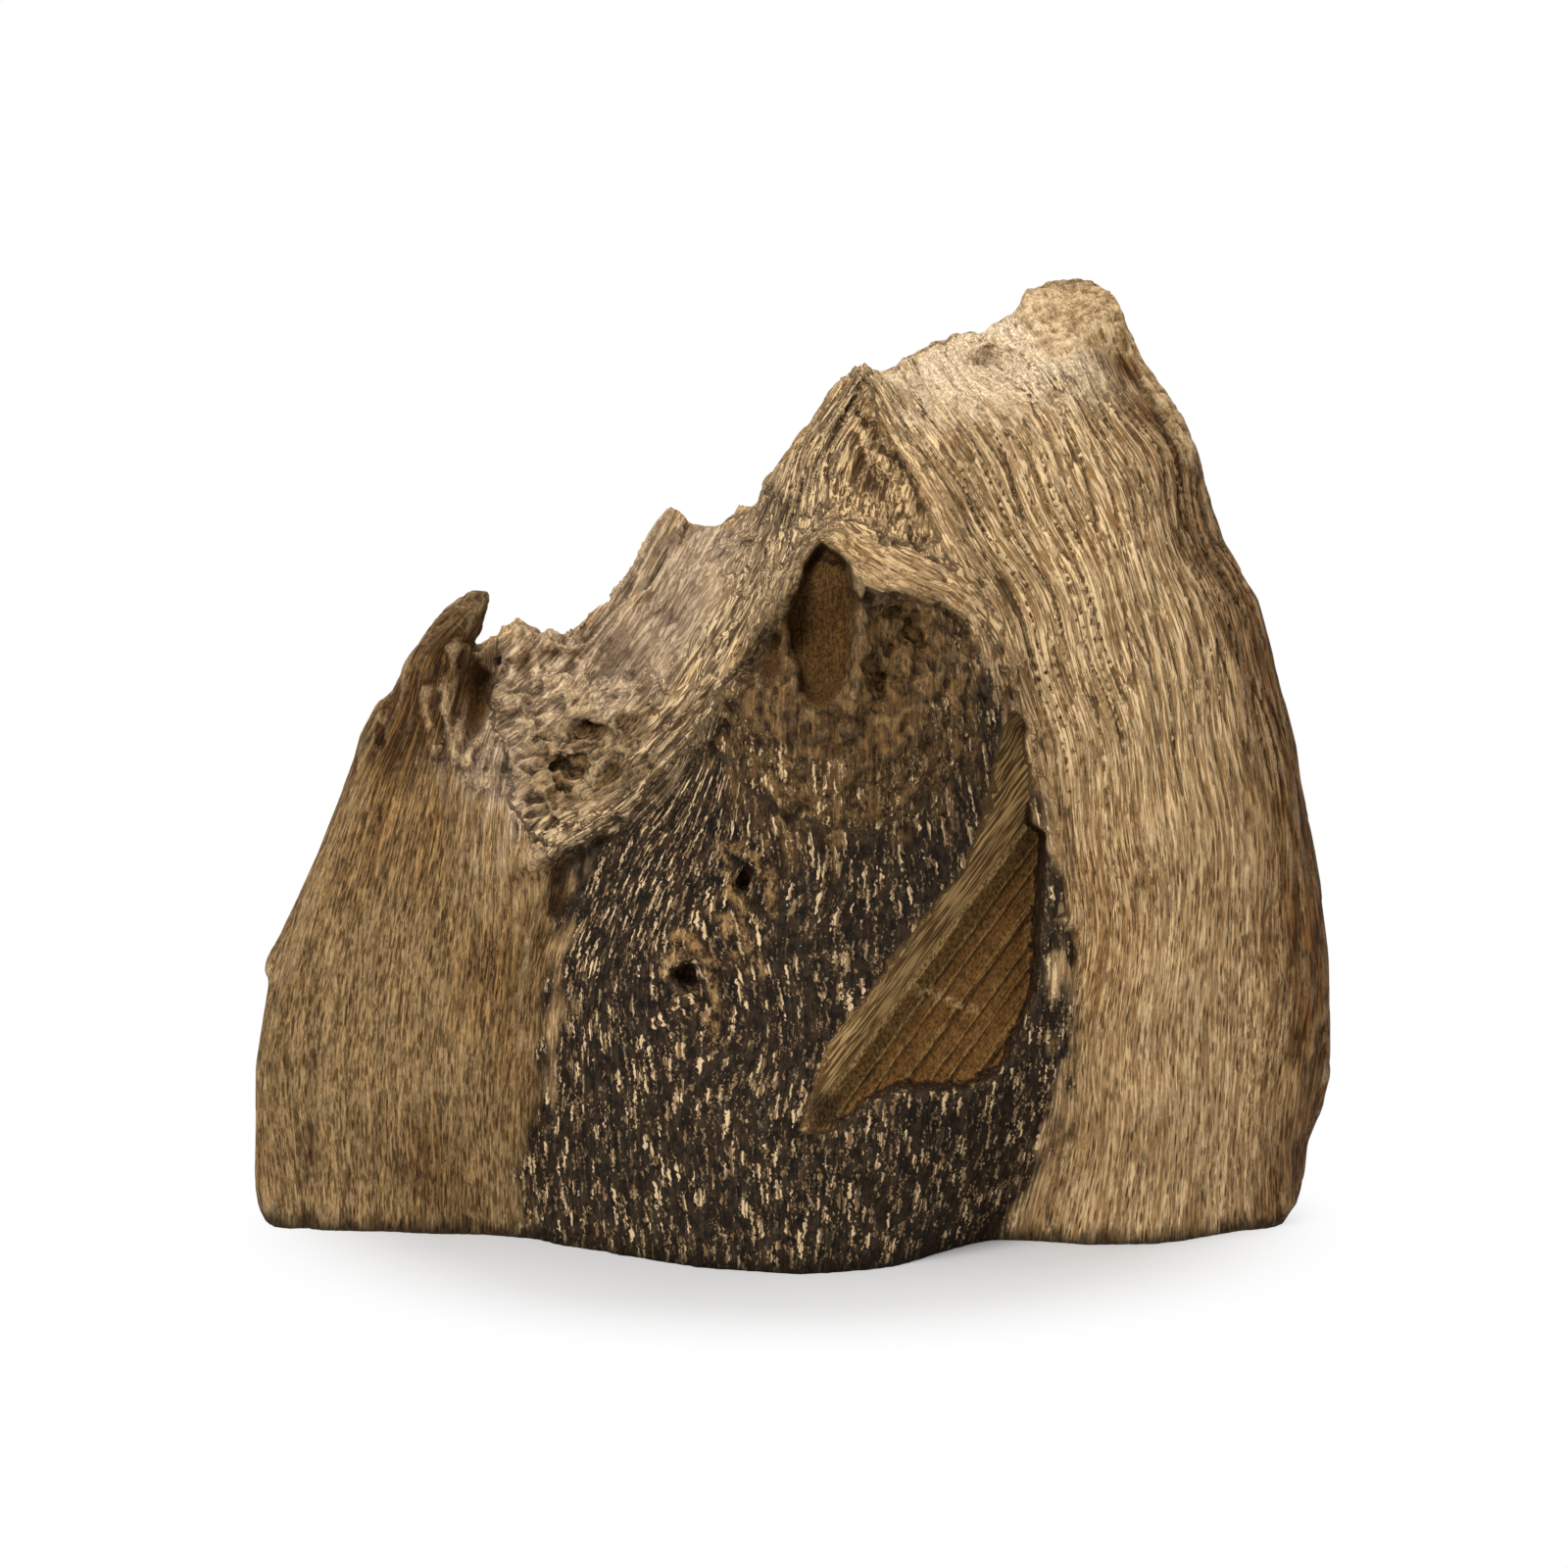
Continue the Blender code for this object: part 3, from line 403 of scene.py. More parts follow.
WEB_STRANDS = [
    ([(-49.7, 100.5), (-47.8, 97.6), (-46, 96.4), (-43.2, 95.4)], 1.1, 1.1),
    ([(-55.1, 104.4), (-53.7, 101.6), (-53.8, 98.2)], 1.1, 0.9),
    ([(-51.6, 103.9), (-48.1, 103.9), (-45.4, 103.6), (-42.9, 106), (-39.8, 105.7),
      (-36.6, 105.6), (-32.5, 106.6)], 1.1, 1.2),
    ([(-32.5, 106.6), (-31.4, 108.6), (-32.3, 109.8), (-35.4, 109.9)], 0.9, 1),
    ([(-54.8, 109.2), (-51.7, 107.9), (-47.4, 107.8), (-43.9, 108.2)], 1, 1),
    ([(-53.2, 116.2), (-51.9, 112.7), (-50.5, 109.4)], 1, 1),
    ([(-44.1, 113.5), (-43.6, 110.3), (-43.9, 108.2)], 1, 1),
    ([(-71, 112), (-70.4, 105), (-69.4, 99.3), (-67.6, 95.6), (-66, 93.2)], 1.2, 1.4),
    ([(-62.8, 101.1), (-64.8, 98.5), (-66.4, 95.6)], 1.1, 1.2),
    ([(-74.7, 110), (-74.2, 103.1), (-73.2, 98.2)], 1.1, 1),
]
CROTCH_STRANDS = [
    ([(12.3, 167.6), (16.3, 160.9), (19.2, 157.1), (21.6, 152.6), (24.3, 148.1), (26.7, 143.5),
      (29.6, 140.3), (32.4, 136.6)], 1, 1),
    ([(9.1, 145.3), (13, 141.4), (19.9, 136.8), (28.1, 134.7), (33.6, 132.4), (39.1, 128.1)],
     1.1, 1),
    ([(10, 148.4), (16, 145.6), (23, 141.6), (30, 138.4), (36, 133.4)], 1, 1),
]
PEAK_GROOVES = [
    ([(11.4, 168.6), (13.9, 166.8), (16.4, 164), (18.8, 160.9), (21.8, 157.6), (24.4, 153.3),
      (26.4, 148.3), (26.5, 144.3)], 1.9, -3.4),
    ([(3.5, 156.3), (1.9, 150.7), (-0.2, 146.4), (-1.8, 141)], 1.2, -1.6),
    ([(10.4, 172), (8.6, 165), (7.2, 158)], 0.9, -0.9),
]
STUB_STRANDS = [
    ([(4.4, 145.2), (0.2, 136), (-4.4, 127.6), (-7.6, 121.1)], 1.2, 1.2),
    ([(-2.4, 127), (-1.4, 122), (-2, 118)], 1, 0.8),
    ([(13.6, 138.9), (14.4, 132.4), (13.4, 127), (12.2, 121), (11.2, 114)], 1.2, 1),
    ([(19.1, 136.4), (26, 134.4), (30.4, 129), (31, 123)], 1.1, 0.8),
    ([(32.2, 131.5), (36.3, 127.5), (38.5, 121.4), (38.4, 115.4)], 1.1, 1.2),
    ([(3.2, 112.4), (5.4, 110), (5.4, 106.6), (2.8, 104.6), (1, 107)], 2, 1.4),
]
KNOT_RIMS = [
    ([(-13.4, 84.8), (-10, 85.2), (-6.7, 83), (-4, 78.5), (-3.6, 72.6)], 1.3, 1.8),
    ([(-13.8, 84), (-12, 79.6), (-11.2, 75), (-8.8, 72.6)], 1.1, 1.4),
    ([(-23, 65.6), (-21.1, 66.9), (-19, 64.2), (-15.9, 62), (-15, 57.2), (-15.2, 53),
      (-14.8, 48.6)], 1.3, 1.8),
    ([(-25.4, 58), (-23.6, 62.6), (-18.5, 63.6)], 1.2, 1.6),
    ([(-13, 71), (-11.7, 65.2), (-8.8, 61.3)], 1.1, 0.9),
    ([(-9.6, 70.4), (-8, 65), (-5.2, 61)], 1.1, 0.9),
]
TOP_FOLDS = [
    ([(47, 184.8), (51.1, 186.4), (56.5, 185.2), (59.6, 179.1), (60.4, 171.4)], 1.4, 1.2),
    ([(28, 176.4), (33, 171.6), (39, 169.4), (46, 167.4), (49, 171), (50, 178)], 1.5, 1.2),
    ([(54.6, 187), (53, 181), (53.4, 174)], 1.8, -1.6),
    ([(62, 180), (64.6, 173), (66, 166)], 1.2, 1.2),
    ([(58.4, 171), (61, 163), (63.4, 156)], 1.4, -1.3),
    ([(44, 164), (50, 152), (54, 142), (57, 131)], 1.5, -1.3),
    ([(34, 163), (41, 149), (47, 135), (50.6, 122)], 1.5, -1.3),
    ([(22, 166), (29, 156), (35, 145), (40, 135)], 1.2, -1.1),
]
FINE_CORDS = (
    [WING_FOOT, WEB_FORK, WEB_STEM] + WEB_STRANDS + CROTCH_STRANDS + PEAK_GROOVES + STUB_STRANDS
    + KNOT_RIMS + TOP_FOLDS
)

# How sharp a cord's crest is, how softly each sheet bends near its points, and how much a
# climb counts along the top edge.
CORD_SHARPNESS = 1.5
FRONT_SOFTNESS = 4.0
BACK_SOFTNESS = 8.0
TOP_CLIMB = 0.35


def smooth_step(value):
    """Rises softly from 0 to 1 as the value does."""
    value = np.clip(value, 0, 1)
    return value * value * (3 - 2 * value)


def distance_to(x, z, path):
    """Distance in front view to the nearest point of a path."""
    nearest = np.full(x.shape, np.inf)
    for (ax, az), (bx, bz) in zip(path, path[1:]):
        dx, dz = bx - ax, bz - az
        along = np.clip(((x - ax) * dx + (z - az) * dz) / (dx * dx + dz * dz), 0, 1)
        nearest = np.minimum(nearest, np.hypot(x - ax - along * dx, z - az - along * dz))
    return nearest


def inside_by(x, z, corners):
    """Distance in from the border of a polygon, negative outside it."""
    inside = np.zeros(x.shape, bool)
    closed = corners + corners[:1]
    for (ax, az), (bx, bz) in zip(closed, closed[1:]):
        if az != bz:
            crosses = (az > z) != (bz > z)
            inside ^= crosses & (x < ax + (z - az) * (bx - ax) / (bz - az))
    distance = distance_to(x, z, closed)
    return np.where(inside, distance, -distance)


def smooth_field(points, softness):
    """Returns value(x, z), a smooth sheet through given values."""
    x, z, values = np.array(points, float).T
    kernel = np.sqrt((x[:, None] - x) ** 2 + (z[:, None] - z) ** 2 + softness**2)
    flat = np.column_stack([np.ones_like(x), x, z])
    system = np.block([[kernel, flat], [flat.T, np.zeros((3, 3))]])
    weights = np.linalg.solve(system, np.concatenate([values, np.zeros(3)]))

    def value(at_x, at_z):
        total = weights[-3] + weights[-2] * at_x + weights[-1] * at_z
        for weight, px, pz in zip(weights, x, z):
            total = total + weight * np.sqrt((at_x - px) ** 2 + (at_z - pz) ** 2 + softness**2)
        return total

    return value


def rough(places, size, layer=0.0):
    """Noise from about -1 to 1 at places, with lumps of a size in millimetres along each axis."""
    scaled = places / np.array(size, float) + layer
    return np.array([noise.noise(place) for place in scaled.tolist()])


def walk(points, share, climb):
    """Points at a share (0 to 1) of the way along an outline edge."""
    line = np.array(points, float)
    step = np.abs(np.diff(line, axis=0))
    run = np.concatenate([[0], np.cumsum(step[:, 0] + climb * step[:, 1])])
    run = run / run[-1]
    return np.interp(share, run, line[:, 0]), np.interp(share, run, line[:, 1])


def saw_stroke(beyond):
    """How far a place lies through its stroke of the saw, 0 to 1. No two strokes are equal."""
    swayed = SAW_SWAY * np.sin(SAW_SWAY_RATE * beyond) - beyond
    return (swayed / SAW_TOOTH_SPACING) % 1


def notch_depth(x, z):
    """Depth of the saw's cut, and how far a place lies beyond the step line and along it."""
    from_x, from_z = x - NOTCH_TIP[0], z - NOTCH_TIP[1]
    step_x = NOTCH_STEP_TOP[0] - NOTCH_TIP[0]
    step_z = NOTCH_STEP_TOP[1] - NOTCH_TIP[1]
    step_length = math.hypot(step_x, step_z)
    beyond = (from_z * step_x - from_x * step_z) / step_length
    plane = NOTCH_DEPTH_AT_TIP + NOTCH_DEPTH_PER_X * from_x
    stepped = NOTCH_STEP * smooth_step(beyond) + NOTCH_FACET_SLOPE * np.maximum(beyond - 1, 0)
    ripple = SAW_TOOTH_DEPTH * (0.5 - saw_stroke(beyond)) * smooth_step(-beyond / 3 - 0.6)
    along = (from_x * step_x + from_z * step_z) / step_length
    return plane - stepped + ripple, beyond, along


WARP_COARSE, WARP_COARSE_BY = (4.5, 5.5, 1), 1.1
WARP_SMALL, WARP_SMALL_BY = (1.7, 2.2, 1), 0.6


def warped(x, z):
    """The same places moved about a little, so that hollows and cords get natural borders."""
    flat = np.column_stack([x, z, np.zeros_like(x)])
    coarse_x, coarse_z = rough(flat, WARP_COARSE, 11.5), rough(flat, WARP_COARSE, 13.5)
    small_x, small_z = rough(flat, WARP_SMALL, 12.5), rough(flat, WARP_SMALL, 14.5)
    return (x + WARP_COARSE_BY * coarse_x + WARP_SMALL_BY * small_x,
            z + WARP_COARSE_BY * coarse_z + WARP_SMALL_BY * small_z)


front_sheet = smooth_field(FRONT, FRONT_SOFTNESS)
back_sheet = smooth_field(BACK, BACK_SOFTNESS)


def swell(x, z, lumps):
    """Lumps drawn out along the upright grain."""
    across, along, height, layer = lumps
    return height * rough(np.column_stack([x, z, np.full(len(x), layer)]), (across, along, 1))


def front_depth(x, z):
    """Finished depth of the front face."""
    depth = front_sheet(x, z) - swell(x, z, FRONT_LUMPS)
    near_x, near_z = warped(x, z)
    for outline, hollow_depth, wall in HOLLOWS + FINE_HOLLOWS + [NOTCH_TAIL]:
        depth = depth + hollow_depth * smooth_step(inside_by(near_x, near_z, outline) / wall)
    for path, half_width, rise in CORDS + FINE_CORDS:
        share = np.clip(1 - distance_to(near_x, near_z, path) / half_width, 0, 1)
        depth = depth - rise * share**CORD_SHARPNESS
    cut = notch_depth(x, z)[0]
    edge_x, edge_z = 0.6 * x + 0.4 * near_x, 0.6 * z + 0.4 * near_z
    wall = smooth_step(inside_by(edge_x, edge_z, NOTCH_BOUNDS) / NOTCH_WALL)
    depth = depth + np.maximum(cut - depth, 0) * wall
    for path, half_width, rise in (NOTCH_CRACK, NOTCH_RIDGE):
        crumbs = np.clip(1 - distance_to(near_x, near_z, path) / half_width, 0, 1)
        depth = depth - rise * crumbs
    return depth


def back_depth(x, z):
    """Finished depth of the back face."""
    depth = back_sheet(x, z) + swell(x, z, BACK_FLUTES)
    near_x, near_z = warped(x, z)
    for path, half_width, rise in BACK_RIBS:
        depth = depth + rise * smooth_step(1 - distance_to(near_x, near_z, path) / half_width)
    outline, rise, wall = BACK_KNOT
    return depth + rise * smooth_step(inside_by(near_x, near_z, outline) / wall)


def outline_point(u, v):
    """Front-view position at a share u across and v up, inside the three drawn edges."""
    bottom_x = LEFT_EDGE[0][0] + (RIGHT_EDGE[0][0] - LEFT_EDGE[0][0]) * u
    left_x, left_z = walk(LEFT_EDGE, v, 1.0)
    right_x, right_z = walk(RIGHT_EDGE, v, 1.0)
    top_x, top_z = walk(TOP_EDGE, u, TOP_CLIMB)
    corners_x = (
        (1 - u) * ((1 - v) * LEFT_EDGE[0][0] + v * LEFT_EDGE[-1][0])
        + u * ((1 - v) * RIGHT_EDGE[0][0] + v * RIGHT_EDGE[-1][0])
    )
    corners_z = v * ((1 - u) * LEFT_EDGE[-1][1] + u * RIGHT_EDGE[-1][1])
    x = (1 - v) * bottom_x + v * top_x + (1 - u) * left_x + u * right_x - corners_x
    z = v * top_z + (1 - u) * left_z + u * right_z - corners_z
    return x, z


def sculpt(across, up, deep):
    """Places block points, each given as shares 0 to 1, on the stump, in millimetres."""
    turn = np.sin(np.pi * deep)
    u = SIDE_ROLL + (1 - 2 * SIDE_ROLL) * across
    u = np.where(across < EDGE_SHARE, SIDE_ROLL * (1 - turn), u)
    u = np.where(across > 1 - EDGE_SHARE, 1 - SIDE_ROLL * (1 - turn), u)
    v = (1 - TOP_ROLL) * up
    v = np.where(up > 1 - EDGE_SHARE, 1 - TOP_ROLL * (1 - turn), v)
    x, z = outline_point(u, v)
    rim = smooth_step((v - RIM_FROM) / RIM_FADE)
    flat = np.column_stack([x, z, np.zeros_like(x)])
    x = x + 0.7 * rim * rough(flat, (2.4, 3.4, 1), 21.5)
    z = z + 1.0 * rim * rough(flat, (1.4, 4, 1), 23.5)
    front = front_depth(x, z)
    back = np.maximum(back_depth(x, z), front + THINNEST)
    y = (front + back) / 2 - np.cos(np.pi * deep) * (back - front) / 2
    return np.column_stack([x, y, z])


def read_vectors(mesh, kind):
    """The vertices' own positions ("co") or normals ("normal"), one row each."""
    flat = np.empty(len(mesh.vertices) * 3)
    mesh.vertices.foreach_get(kind, flat)
    return flat.reshape(-1, 3)


def read_places(mesh):
    """The vertices' places in the drawing, in millimetres."""
    return read_vectors(mesh, "co") / MM + DRAWING_SHIFT


def write_places(mesh, places):
    mesh.vertices.foreach_set("co", ((places - DRAWING_SHIFT) * MM).ravel())
    mesh.update()


bpy.ops.object.select_all(action="DESELECT")
bpy.ops.mesh.primitive_grid_add(
    x_subdivisions=FACES_ACROSS, y_subdivisions=FACES_UP, size=2, location=(0, 0, 0))
stump = bpy.context.object
stump.name = "weathered_stump"
bpy.ops.object.mode_set(mode="EDIT")
bpy.ops.mesh.select_all(action="SELECT")
bpy.ops.mesh.duplicate()
bpy.ops.transform.translate(value=(0, 0, 1))
bpy.ops.mesh.select_all(action="SELECT")
bpy.ops.mesh.region_to_loop()
bpy.ops.mesh.bridge_edge_loops(number_cuts=FACES_DEEP - 1)
bpy.ops.object.mode_set(mode="OBJECT")
mesh = stump.data
block = read_vectors(mesh, "co")
write_places(mesh, sculpt((block[:, 0] + 1) / 2, (block[:, 1] + 1) / 2, block[:, 2]))
bpy.ops.object.mode_set(mode="EDIT")
bpy.ops.mesh.select_all(action="SELECT")
bpy.ops.mesh.normals_make_consistent(inside=False)
bpy.ops.object.mode_set(mode="OBJECT")
skin = stump.modifiers.new("skin", "REMESH")
skin.mode = "VOXEL"
skin.voxel_size = SKIN_VOXEL * MM
soften = stump.modifiers.new("soften", "SMOOTH")
soften.factor = 0.5
soften.iterations = 1
for modifier in ("skin", "soften"):
    bpy.ops.object.modifier_apply(modifier=modifier)

# The grain runs up from the base, bends round the branch stub and leans left in the right lobe.
# Each line follows it, and is named by where it starts across the base.
LEFT_GRAIN = [
    (-108, [(-108, 0), (-110, 20), (-110, 39), (-102, 67), (-88, 101), (-74, 123), (-66, 129)]),
    (-95, [(-95, 0), (-96, 21), (-95, 42), (-86, 82), (-76, 111), (-64, 128)]),
    (-82, [(-82, 0), (-82, 22), (-81, 43), (-75, 82), (-69, 110), (-67, 117)]),
    (-68, [(-68, 0), (-67, 43), (-63, 83), (-61, 99), (-56, 120)]),
    (-55, [(-55, 0), (-54, 44), (-50, 78), (-45, 99), (-37, 120)]),
    (-49, [(-49, 0), (-50, 24), (-49, 42), (-41, 74), (-23, 102), (-7, 133), (3, 160), (8, 172)]),
    (-37, [(-37, 0), (-39, 19), (-39, 39), (-34, 71), (-20, 98), (-7, 125), (5, 153), (11, 170)]),
    (-25, [(-25, 0), (-28, 37), (-30, 53), (-28, 66), (-17, 93), (-9, 117), (1, 141), (9, 160)]),
    (-13, [(-13, 0), (-14, 35), (-11, 57), (-14, 76), (-10, 98), (-3, 120)]),
    (-1, [(-1, 0), (0, 38), (-1, 63), (1, 83), (3, 107), (4, 113)]),
    (10, [(10, 0), (12, 36), (12, 60), (13, 83), (13, 115)]),
    (22, [(22, 0), (26, 34), (29, 62), (25, 93), (24, 107)]),
    (34, [(34, 0), (38, 17), (42, 53), (38, 93), (32, 121), (25, 133)]),
    (45, [(45, 0), (53, 40), (53, 76), (47, 105), (39, 127), (27, 143)]),
]
RIGHT_GRAIN = [
    (50, [(50, 0), (55, 24), (59, 66), (55, 103), (46, 132), (32, 155), (19, 174)]),
    (64, [(64, 0), (67, 46), (67, 86), (60, 119), (50, 145), (36, 170), (31, 177)]),
    (76, [(76, 0), (77, 46), (78, 85), (73, 118), (64, 147), (51, 172), (45, 178)]),
    (89, [(89, 0), (90, 64), (87, 102), (80, 134), (69, 163), (56, 187)]),
    (100, [(100, 0), (102, 62), (98, 100), (90, 132), (80, 161), (65, 188)]),
    (106, [(105, 2), (109, 52), (105, 92), (97, 124), (86, 149), (76, 172)]),
]
BACK_GRAIN = [
    (-106, [(-106, 0), (-106, 55), (-86, 105)]),
    (-58, [(-58, 0), (-57, 60), (-46, 112)]),
    (-8, [(-8, 0), (-10, 70), (2, 150)]),
    (48, [(48, 0), (51, 90), (38, 172)]),
    (104, [(104, 0), (106, 80), (80, 165)]),
]
WING_GRAIN = [
    (-10, [(-46, 66), (-36, 75), (-25, 86), (-14, 97), (-4, 112), (4, 128), (9, 148), (14, 164),
           (24, 182)]),
    (0, [(-60, 74), (-49, 80.7), (-42, 85.8), (-34, 91), (-28, 97), (-20, 106), (-12, 118),
         (-5, 132), (0, 150), (5, 164), (14, 178)]),
    (12, [(-68, 86), (-57, 91), (-47, 98), (-38, 106), (-30, 116), (-22, 130), (-14, 145),
          (-4, 162), (6, 176)]),
    (24, [(-74, 98), (-63, 103), (-53, 109), (-44, 118), (-36, 129), (-29, 141), (-23, 152)]),
    (36, [(-82, 108), (-71, 115), (-61, 124), (-52, 136)]),
]
GRAIN_SOFTNESS = 16.0

# Where the right lobe's grain meets the rest, from the base to the peak (x at each z).
CLEFT_X = [41, 47, 53, 56, 57, 55, 53, 50, 46, 42, 38, 31, 24, 18, 15]
CLEFT_Z = [1, 14, 29, 44, 60, 76, 87, 99, 111, 123, 133, 142, 154, 164, 175]


def grain_fields(lines):
    """Fields of the distance across and along the grain, laid through drawn lines."""
    across, along = [], []
    for start, line in lines:
        travelled = line[0][1]
        for (ax, az), (bx, bz) in zip([line[0]] + line, line):
            travelled += math.hypot(bx - ax, bz - az)
            across.append((bx, bz, start))
            along.append((bx, bz, travelled))
    return smooth_field(across, GRAIN_SOFTNESS), smooth_field(along, GRAIN_SOFTNESS)


left_grain, right_grain, wing_grain, back_grain = map(
    grain_fields, (LEFT_GRAIN, RIGHT_GRAIN, WING_GRAIN, BACK_GRAIN))

# In the eroded wood left of the stub the strands follow the wing's crest, and over the stub they
# run round its hood.
WING_SIDE = [
    (-60, 140), (-60, 116), (-61, 104), (-57, 92), (-50, 80), (-47, 77.5), (-40, 83), (-33, 89),
    (-27, 96), (-20, 104), (-15, 113), (-10, 121), (-5, 131), (0, 141), (5, 147), (9, 149),
    (15, 147), (21, 144.5), (28, 141), (26.5, 149), (22, 157), (17, 165), (15.5, 175), (18, 190),
]
HOOD_LINE = [
    (-19, 98), (-12.5, 116), (-2.4, 134.5), (3, 144), (8, 148), (14.6, 144), (22, 139.6),
    (31.6, 135), (37.6, 128.5), (40.6, 119.6), (43, 111), (45, 98),
]
HOOD_SIDE = [
    (4, 146), (9, 149), (15, 147), (21, 144.5), (28, 141), (33, 138), (37, 134), (42, 122),
    (46, 108), (44, 99), (39, 108), (37, 120), (32, 129), (22, 135), (14, 138), (9, 143),
]


def beside_path(x, z, path):
    """Distance to the left of a path, negative to its right, and the distance along it."""
    nearest = np.full(x.shape, np.inf)
    side, along = np.zeros(x.shape), np.zeros(x.shape)
    travelled = 0.0
    for (ax, az), (bx, bz) in zip(path, path[1:]):
        length = math.hypot(bx - ax, bz - az)
        ux, uz = (bx - ax) / length, (bz - az) / length
        run = np.clip((x - ax) * ux + (z - az) * uz, 0, length)
        away = np.hypot(x - ax - run * ux, z - az - run * uz)
        closer = away < nearest
        left = np.sign((z - az) * ux - (x - ax) * uz)
        nearest = np.where(closer, away, nearest)
        side = np.where(closer, left * away, side)
        along = np.where(closer, travelled + run, along)
        travelled += length
    return side, along


# Middle of the lump's depth, which parts its front from its back.
MIDDLE_DEPTH = smooth_field([
    (-109, 20, 9), (-60, 0, 14), (0, 0, 4), (103, 0, 7), (-95, 90, 9), (-66, 122, 18),
    (-60, 108, 24), (-43, 117, 38), (-25, 143, 45), (-10, 143, 40), (-2, 156, 2), (14, 177, 1),
    (39, 182, 19), (62, 192, 27), (85, 145, 10), (110, 45, 8), (0, 100, 2), (-40, 90, 14),
], 12.0)


def sawn_floor(places):
    """1 on the floor of the saw's cut, and 0 away from it."""
    x, y, z = places.T
    within = np.maximum(inside_by(x, z, NOTCH_BOUNDS), inside_by(x, z, NOTCH_TAIL[0]))
    return smooth_step(within / 0.8) * smooth_step((y - notch_depth(x, z)[0] + 1.1) / 0.5)


def in_front(places):
    """1 on the front face, 0 on the back, and a soft change at the sides."""
    x, y, z = places.T
    return smooth_step((MIDDLE_DEPTH(x, z) - y) / 8 + 0.5)


# The stub's grain is drawn from another part of the noise than its neighbours' is.
STUB_OFFSET = 400
CLIMB_FROM, CLIMB_FADE = 70, 110


def grain_runs(places):
    """For each run of grain: places in it (across, deep and along, in mm), and its weights."""
    x, y, z = places.T
    fray = 1.4 * rough(places, (2, 3, 6), 31.5) + 2.2 * rough(places, (6, 6, 9), 32.5)
    front = in_front(places)
    right = smooth_step((x - np.interp(z, CLEFT_Z, CLEFT_X) + fray) / 3 + 0.5)
    winged = smooth_step((inside_by(x, z, WING_SIDE) + fray) / 6 + 0.5)
    hooded = smooth_step((inside_by(x, z, HOOD_SIDE) + fray) / 4 + 0.5)
    sawn_share = sawn_floor(places)
    stubby = smooth_step((inside_by(x, z, ROTTED_STUB) + fray) / 6 + 0.3) * (1 - sawn_share)
    cut_across, cut_along = notch_depth(x, z)[1:]
    fields = [
        [field(x, z) for field in left_grain], [field(x, z) for field in right_grain],
        [field(x, z) for field in wing_grain], beside_path(x, z, HOOD_LINE),
        [field(x, z) for field in back_grain], [cut_across, cut_along], [x + STUB_OFFSET, z],
    ]
    # How far each run's grain climbs with depth: most at the top, where the surface lies flat.
    tops = smooth_step((z - CLIMB_FROM) / CLIMB_FADE)
    slopes = [tops, tops, 0.85, 0.5, tops, 0, 0]
    behind, ahead = y - front_sheet(x, z), back_sheet(x, z) - y
    depths = [behind, behind, behind, behind, ahead, 0 * y, behind]
    grown = front * (1 - sawn_share) * (1 - stubby)
    plain = grown * (1 - winged) * (1 - hooded)
    weights = np.array([
        plain * (1 - right), plain * right, grown * winged * (1 - hooded), grown * hooded,
        1 - front, front * sawn_share, front * stubby,
    ])
    runs = [np.column_stack([across, deep, along + y * slope])
            for (across, along), deep, slope in zip(fields, depths, slopes)]
    return runs, weights


def main_run(runs, weights):
    """The places in whichever run of grain weighs most."""
    heaviest = weights.argmax(0)
    return np.array(runs)[heaviest, np.arange(len(heaviest))]


def stranded(runs, weights, size, layer=0.0):
    """Noise drawn out along the grain, with the runs of grain faded into each other."""
    total = np.zeros(weights.shape[1])
    for run, weight in zip(runs, weights):
        used = weight > 0.01
        total[used] += weight[used] * rough(run[used], size, layer)
    return total


# Regions of the front, as outlines (x, z).
DARK_RESIN = [
    (-54, -4), (-54, 13), (-52, 24), (-50, 38), (-48, 50), (-46, 62), (-44, 74), (-42, 84),
    (-34, 95), (-25, 105), (-16, 112), (-6, 112), (4, 108), (18, 108), (27, 112), (32, 118),
    (38, 122), (43, 115), (46, 105), (50, 95), (52, 85), (54, 72), (55, 56),
    (55, 39), (53, 24), (50, 14), (44, 6), (39, -4),
]
FLECKED = [
    (-54, -4), (-54, 13), (-52, 24), (-50, 38), (-48, 50), (-46, 62), (-41, 74), (-37, 83),
    (-29, 93), (-20, 103), (-15, 112), (-12, 118), (-8, 112), (2, 104), (14, 102), (26, 108),
    (32, 124), (37, 130), (43, 119), (47, 106), (51, 95), (53, 85), (55, 72), (56, 56),
    (56, 39), (54, 24), (51, 14), (46, 6), (42, -4),
]
ROTTED_STUB = [
    (-13, 117), (-9, 123), (-3, 132), (1, 140), (6, 145), (11, 142), (14, 137), (29, 134),
    (36, 126), (36, 108), (30, 96), (18, 88), (2, 90), (-10, 96), (-15, 104),
]
ERODED_WEBS = [
    (-72, 99), (-68, 112), (-64, 116), (-62, 118), (-56, 124), (-43, 123), (-32, 134), (-24, 147),
    (-14, 143), (-5, 151), (-4, 144), (-14, 126), (-24, 110), (-34, 99), (-41, 92), (-46, 84),
    (-53, 80), (-61, 90),
]
WING_STRANDS = [
    (-50, 80), (-44, 82), (-34, 88), (-24, 98), (-16, 108), (-11, 122), (-4, 132), (1, 141),
    (7, 148), (10, 156), (12, 166), (15, 175), (14, 180), (5, 168), (-5, 152), (-14, 128),
    (-26, 112), (-38, 96), (-48, 88), (-56, 84),
]
CROTCH_WEBS = [
    (12, 172), (10, 164), (7, 150), (14, 146), (26, 140), (34, 132), (40, 119), (44, 111),
    (42, 121), (37, 132), (30, 142), (23, 156), (17, 168),
]
